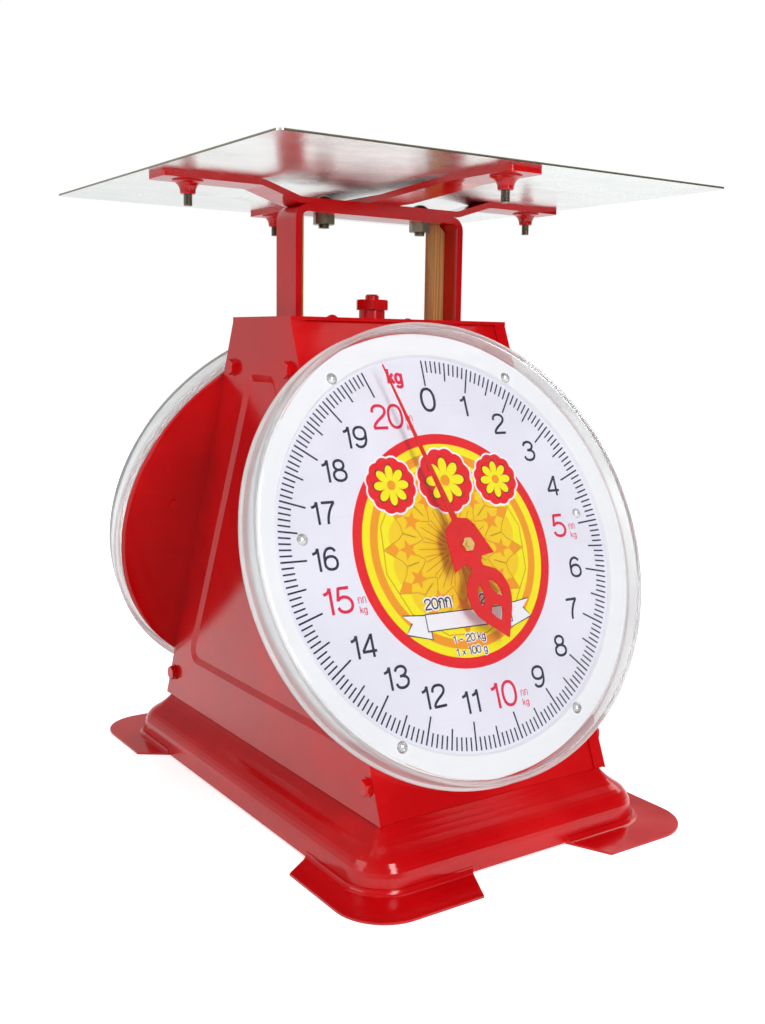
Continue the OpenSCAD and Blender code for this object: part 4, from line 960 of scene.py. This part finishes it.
class SCALE_OT_springs(bpy.types.Operator):
    """Winds the two round-wire tension springs inside the casing"""

    bl_idname = "scale_dress.springs"
    bl_label = "Tension springs"

    def execute(self, context):
        """The wire's path in mm: half a ring at each end, between them the helix (coil * cos,
        coil * sin, even rise), 8 points a curl."""
        curls, coil, hook, half_wire, off_middle = 16, 9.0, 6.0, 1.25, 30.0
        z_lo, z_hi, end, neck = 174.0, 250.0, 8.5, 4.5
        c_lo, c_hi = z_lo + end, z_hi - end
        out = (hook + coil) / 2 + 0.6
        low = np.radians(np.arange(180, 361, 22.5))
        high = np.radians(np.arange(0, 181, 22.5))
        k = np.arange(curls * 8 + 1)
        turn, rise = np.radians(90 + 45 * k), c_lo + (c_hi - c_lo) * k / (curls * 8)
        zero = np.zeros_like
        path = np.concatenate([
            np.stack([zero(low), hook * np.cos(low), z_lo + hook * np.sin(low)], -1),
            [[0, out, z_lo + neck]],
            np.stack([coil * np.cos(turn), coil * np.sin(turn), rise], -1),
            [[0, out, z_hi - neck]],
            np.stack([zero(high), hook * np.cos(high), z_hi + hook * np.sin(high)], -1),
        ])
        fine = smooth_path(path, 4)
        height = fine[:, 2]
        share = np.clip((height - z_lo - 5.0) / 3.0, 0, 1) * np.clip((z_hi - 5.0 - height) / 3.0, 0, 1)
        side = (1 - share)[:, None] * np.array([1.0, 0, 0]) + share[:, None] * np.array([0, 0, 1.0])
        wire = metal_finish("spring_wire", srgb(150, 152, 156), srgb(96, 92, 88), 0.22, 0.42, 0.08)
        for label, sign in (("right", 1.0), ("left", -1.0)):
            flip = np.array([sign, sign, 1.0])
            shift = np.array([off_middle * sign, 0, 0])
            piece = tube("spring_coil_" + label, (fine * flip + shift) * MM, side * flip, half_wire * MM)
            place_piece(piece, wire, "spring_" + label)
        return {"FINISHED"}


class SCALE_OT_stage(bpy.types.Operator):
    """Sets up the floor, the white surroundings, the soft lamps and the camera"""

    bl_idname = "scale_dress.stage"
    bl_label = "Stage"

    def execute(self, context):
        self.floor()
        self.surroundings()
        self.lamps()
        self.camera()
        return {"FINISHED"}

    def floor(self):
        """Square sheet 6 m across, 2 by 2 fields, that glows for the camera, more with the distance
        from the middle, and a little in reflections."""
        side = np.linspace(-3, 3, 3)
        x, y = np.meshgrid(side, side, indexing="ij")
        points = np.stack([x, y, np.full_like(x, -0.0001)], -1).reshape(-1, 3)
        floor = make_piece("floor", points, grid_quads(3, 3, False, False))
        f = Finish("floor_white")
        white = f.mixed(f.blotch, (0.86, 0.86, 0.86, 1), (0.84, 0.84, 0.84, 1))
        f.fill({"Base Color": white, "Roughness": 0.9, "Specular IOR Level": 0.1})
        path = f.node("LightPath", {}).outputs
        seen = f.maths("MAXIMUM", path["Is Camera Ray"], path["Is Transmission Ray"])
        far = f.ranged(f.vectors("LENGTH", f.vector), 0.60, 1.0, 0.45, 1.4)
        gloss = f.ranged(path["Is Glossy Ray"], 0.0, 0.50)
        level = f.maths("MAXIMUM", f.maths("MULTIPLY", seen, far), gloss)
        glow = f.node("Emission", {"Strength": level})
        both = f.node("AddShader", {0: f.shader.outputs["BSDF"], 1: glow.outputs["Emission"]})
        f.show(both.outputs["Shader"])
        floor.data.materials.append(f.material)

    def surroundings(self):
        """White to the camera and through the cover, light near the horizon and dimmer overhead and
        behind the camera in reflections, and a plain soft level for the rest."""
        world = bpy.data.worlds.new("studio")
        world.use_nodes = True
        w = Tree(world.node_tree)
        path = w.node("LightPath", {}).outputs
        way = w.node("TexCoord", {}).outputs["Generated"]
        room = w.ranged(w.vectors("DOT_PRODUCT", way, (0.42, -0.80, 0.42)), 0.68, 0.07, 0.15, 0.80)
        level = w.maths("MULTIPLY", room, w.ranged(w.parts(way)["Z"], 1.0, 0.35, 0.15, 0.45))
        shown = w.mixed(path["Is Glossy Ray"], 0.36, level, "FLOAT")
        seen = w.maths("MAXIMUM", path["Is Camera Ray"], path["Is Transmission Ray"])
        back = world.node_tree.nodes["Background"].inputs
        w.feed(back["Strength"], w.mixed(seen, shown, 1.0, "FLOAT"))
        w.feed(back["Color"], (1, 1, 1, 1))
        bpy.context.scene.world = world

    def lamps(self):
        """Four soft panels: a tall key in front, fills from both sides and a rim from behind."""
        for name, place, aim, size, tall, watts in (
            ("key", (-0.15, -1.60, 0.92), 0.18, 0.45, 1.2, 17.6),
            ("fill", (1.4, 0.35, 1.0), 0.18, 0.9, 0.9, 6.0),
            ("side", (-1.5, 0.25, 0.85), 0.15, 0.9, 0.9, 6.0),
            ("rim", (0.9, 1.2, 1.0), 0.2, 0.8, 0.8, 5.0),
        ):
            lamp = bpy.data.lights.new(name, "AREA")
            lamp.shape = "RECTANGLE"
            lamp.size, lamp.size_y, lamp.energy = size, tall, watts
            holder = bpy.data.objects.new(name, lamp)
            holder.location = place
            way = Vector((0, 0, aim)) - Vector(place)
            holder.rotation_euler = way.to_track_quat("-Z", "Y").to_euler()
            bpy.context.scene.collection.objects.link(holder)

    def camera(self):
        """Camera from yaw, pitch and roll: forward = (sin yaw cos pitch, cos yaw cos pitch, sin pitch),
        right square to it in the level plane, then both turned by the roll."""
        yaw, pitch, roll = (math.radians(v) for v in (34.183, -8.460, 0.841))
        focal_pixels, frame_pixels, sensor = 1131.857, 1024, 36
        level = math.cos(pitch)
        forward = Vector((math.sin(yaw) * level, math.cos(yaw) * level, math.sin(pitch)))
        right = Vector((math.cos(yaw), -math.sin(yaw), 0))
        up = right.cross(forward)
        turned_right = math.cos(roll) * right + math.sin(roll) * up
        turned_up = -math.sin(roll) * right + math.cos(roll) * up
        camera = bpy.data.objects.new("camera", bpy.data.cameras.new("camera"))
        place = Matrix((turned_right, turned_up, -forward)).transposed().to_4x4()
        place.translation = Vector((-0.37475, -0.56603, 0.26430))
        camera.matrix_world = place
        camera.data.sensor_width = sensor
        camera.data.lens = focal_pixels * sensor / frame_pixels
        camera.data.clip_start = 0.01
        bpy.context.scene.collection.objects.link(camera)
        bpy.context.scene.camera = camera
        bpy.context.scene.view_settings.view_transform = "Standard"


OPERATORS = (
    SCALE_OT_stage,
    SCALE_OT_enamel,
    SCALE_OT_metals,
    SCALE_OT_platter,
    SCALE_OT_strips,
    SCALE_OT_dial_sheets,
    SCALE_OT_ticks,
    SCALE_OT_numerals,
    SCALE_OT_emblem,
    SCALE_OT_covers,
    SCALE_OT_springs,
)


class SCALE_PT_dressing(bpy.types.Panel):
    """Lists the steps that dress the scale"""

    bl_label = "Dial scale"
    bl_idname = "SCALE_PT_dressing"
    bl_space_type = "VIEW_3D"
    bl_region_type = "UI"
    bl_category = "Scale"

    def draw(self, context):
        layout = self.layout
        for group in (sizes(), colours()):
            box = layout.box()
            for name in group.bl_rna.properties.keys():
                if name not in ("rna_type", "name"):
                    box.prop(group, name)
        for step in OPERATORS:
            layout.operator(step.bl_idname)


CLASSES = (ScaleSizes, ScaleColours, *OPERATORS, SCALE_PT_dressing)


def register():
    for cls in CLASSES:
        bpy.utils.register_class(cls)
    bpy.types.Scene.scale_sizes = bpy.props.PointerProperty(type=ScaleSizes)
    bpy.types.Scene.scale_colours = bpy.props.PointerProperty(type=ScaleColours)


def unregister():
    del bpy.types.Scene.scale_colours
    del bpy.types.Scene.scale_sizes
    for cls in reversed(CLASSES):
        bpy.utils.unregister_class(cls)


def main():
    register()
    bpy.ops.scale_dress.stage()
    bpy.ops.scale_dress.enamel()
    bpy.ops.scale_dress.metals()
    bpy.ops.scale_dress.platter()
    bpy.ops.scale_dress.strips()
    bpy.ops.scale_dress.dial_sheets()
    bpy.ops.scale_dress.ticks()
    bpy.ops.scale_dress.numerals()
    bpy.ops.scale_dress.emblem()
    bpy.ops.scale_dress.covers()
    bpy.ops.scale_dress.springs()


if __name__ == "__main__":
    main()
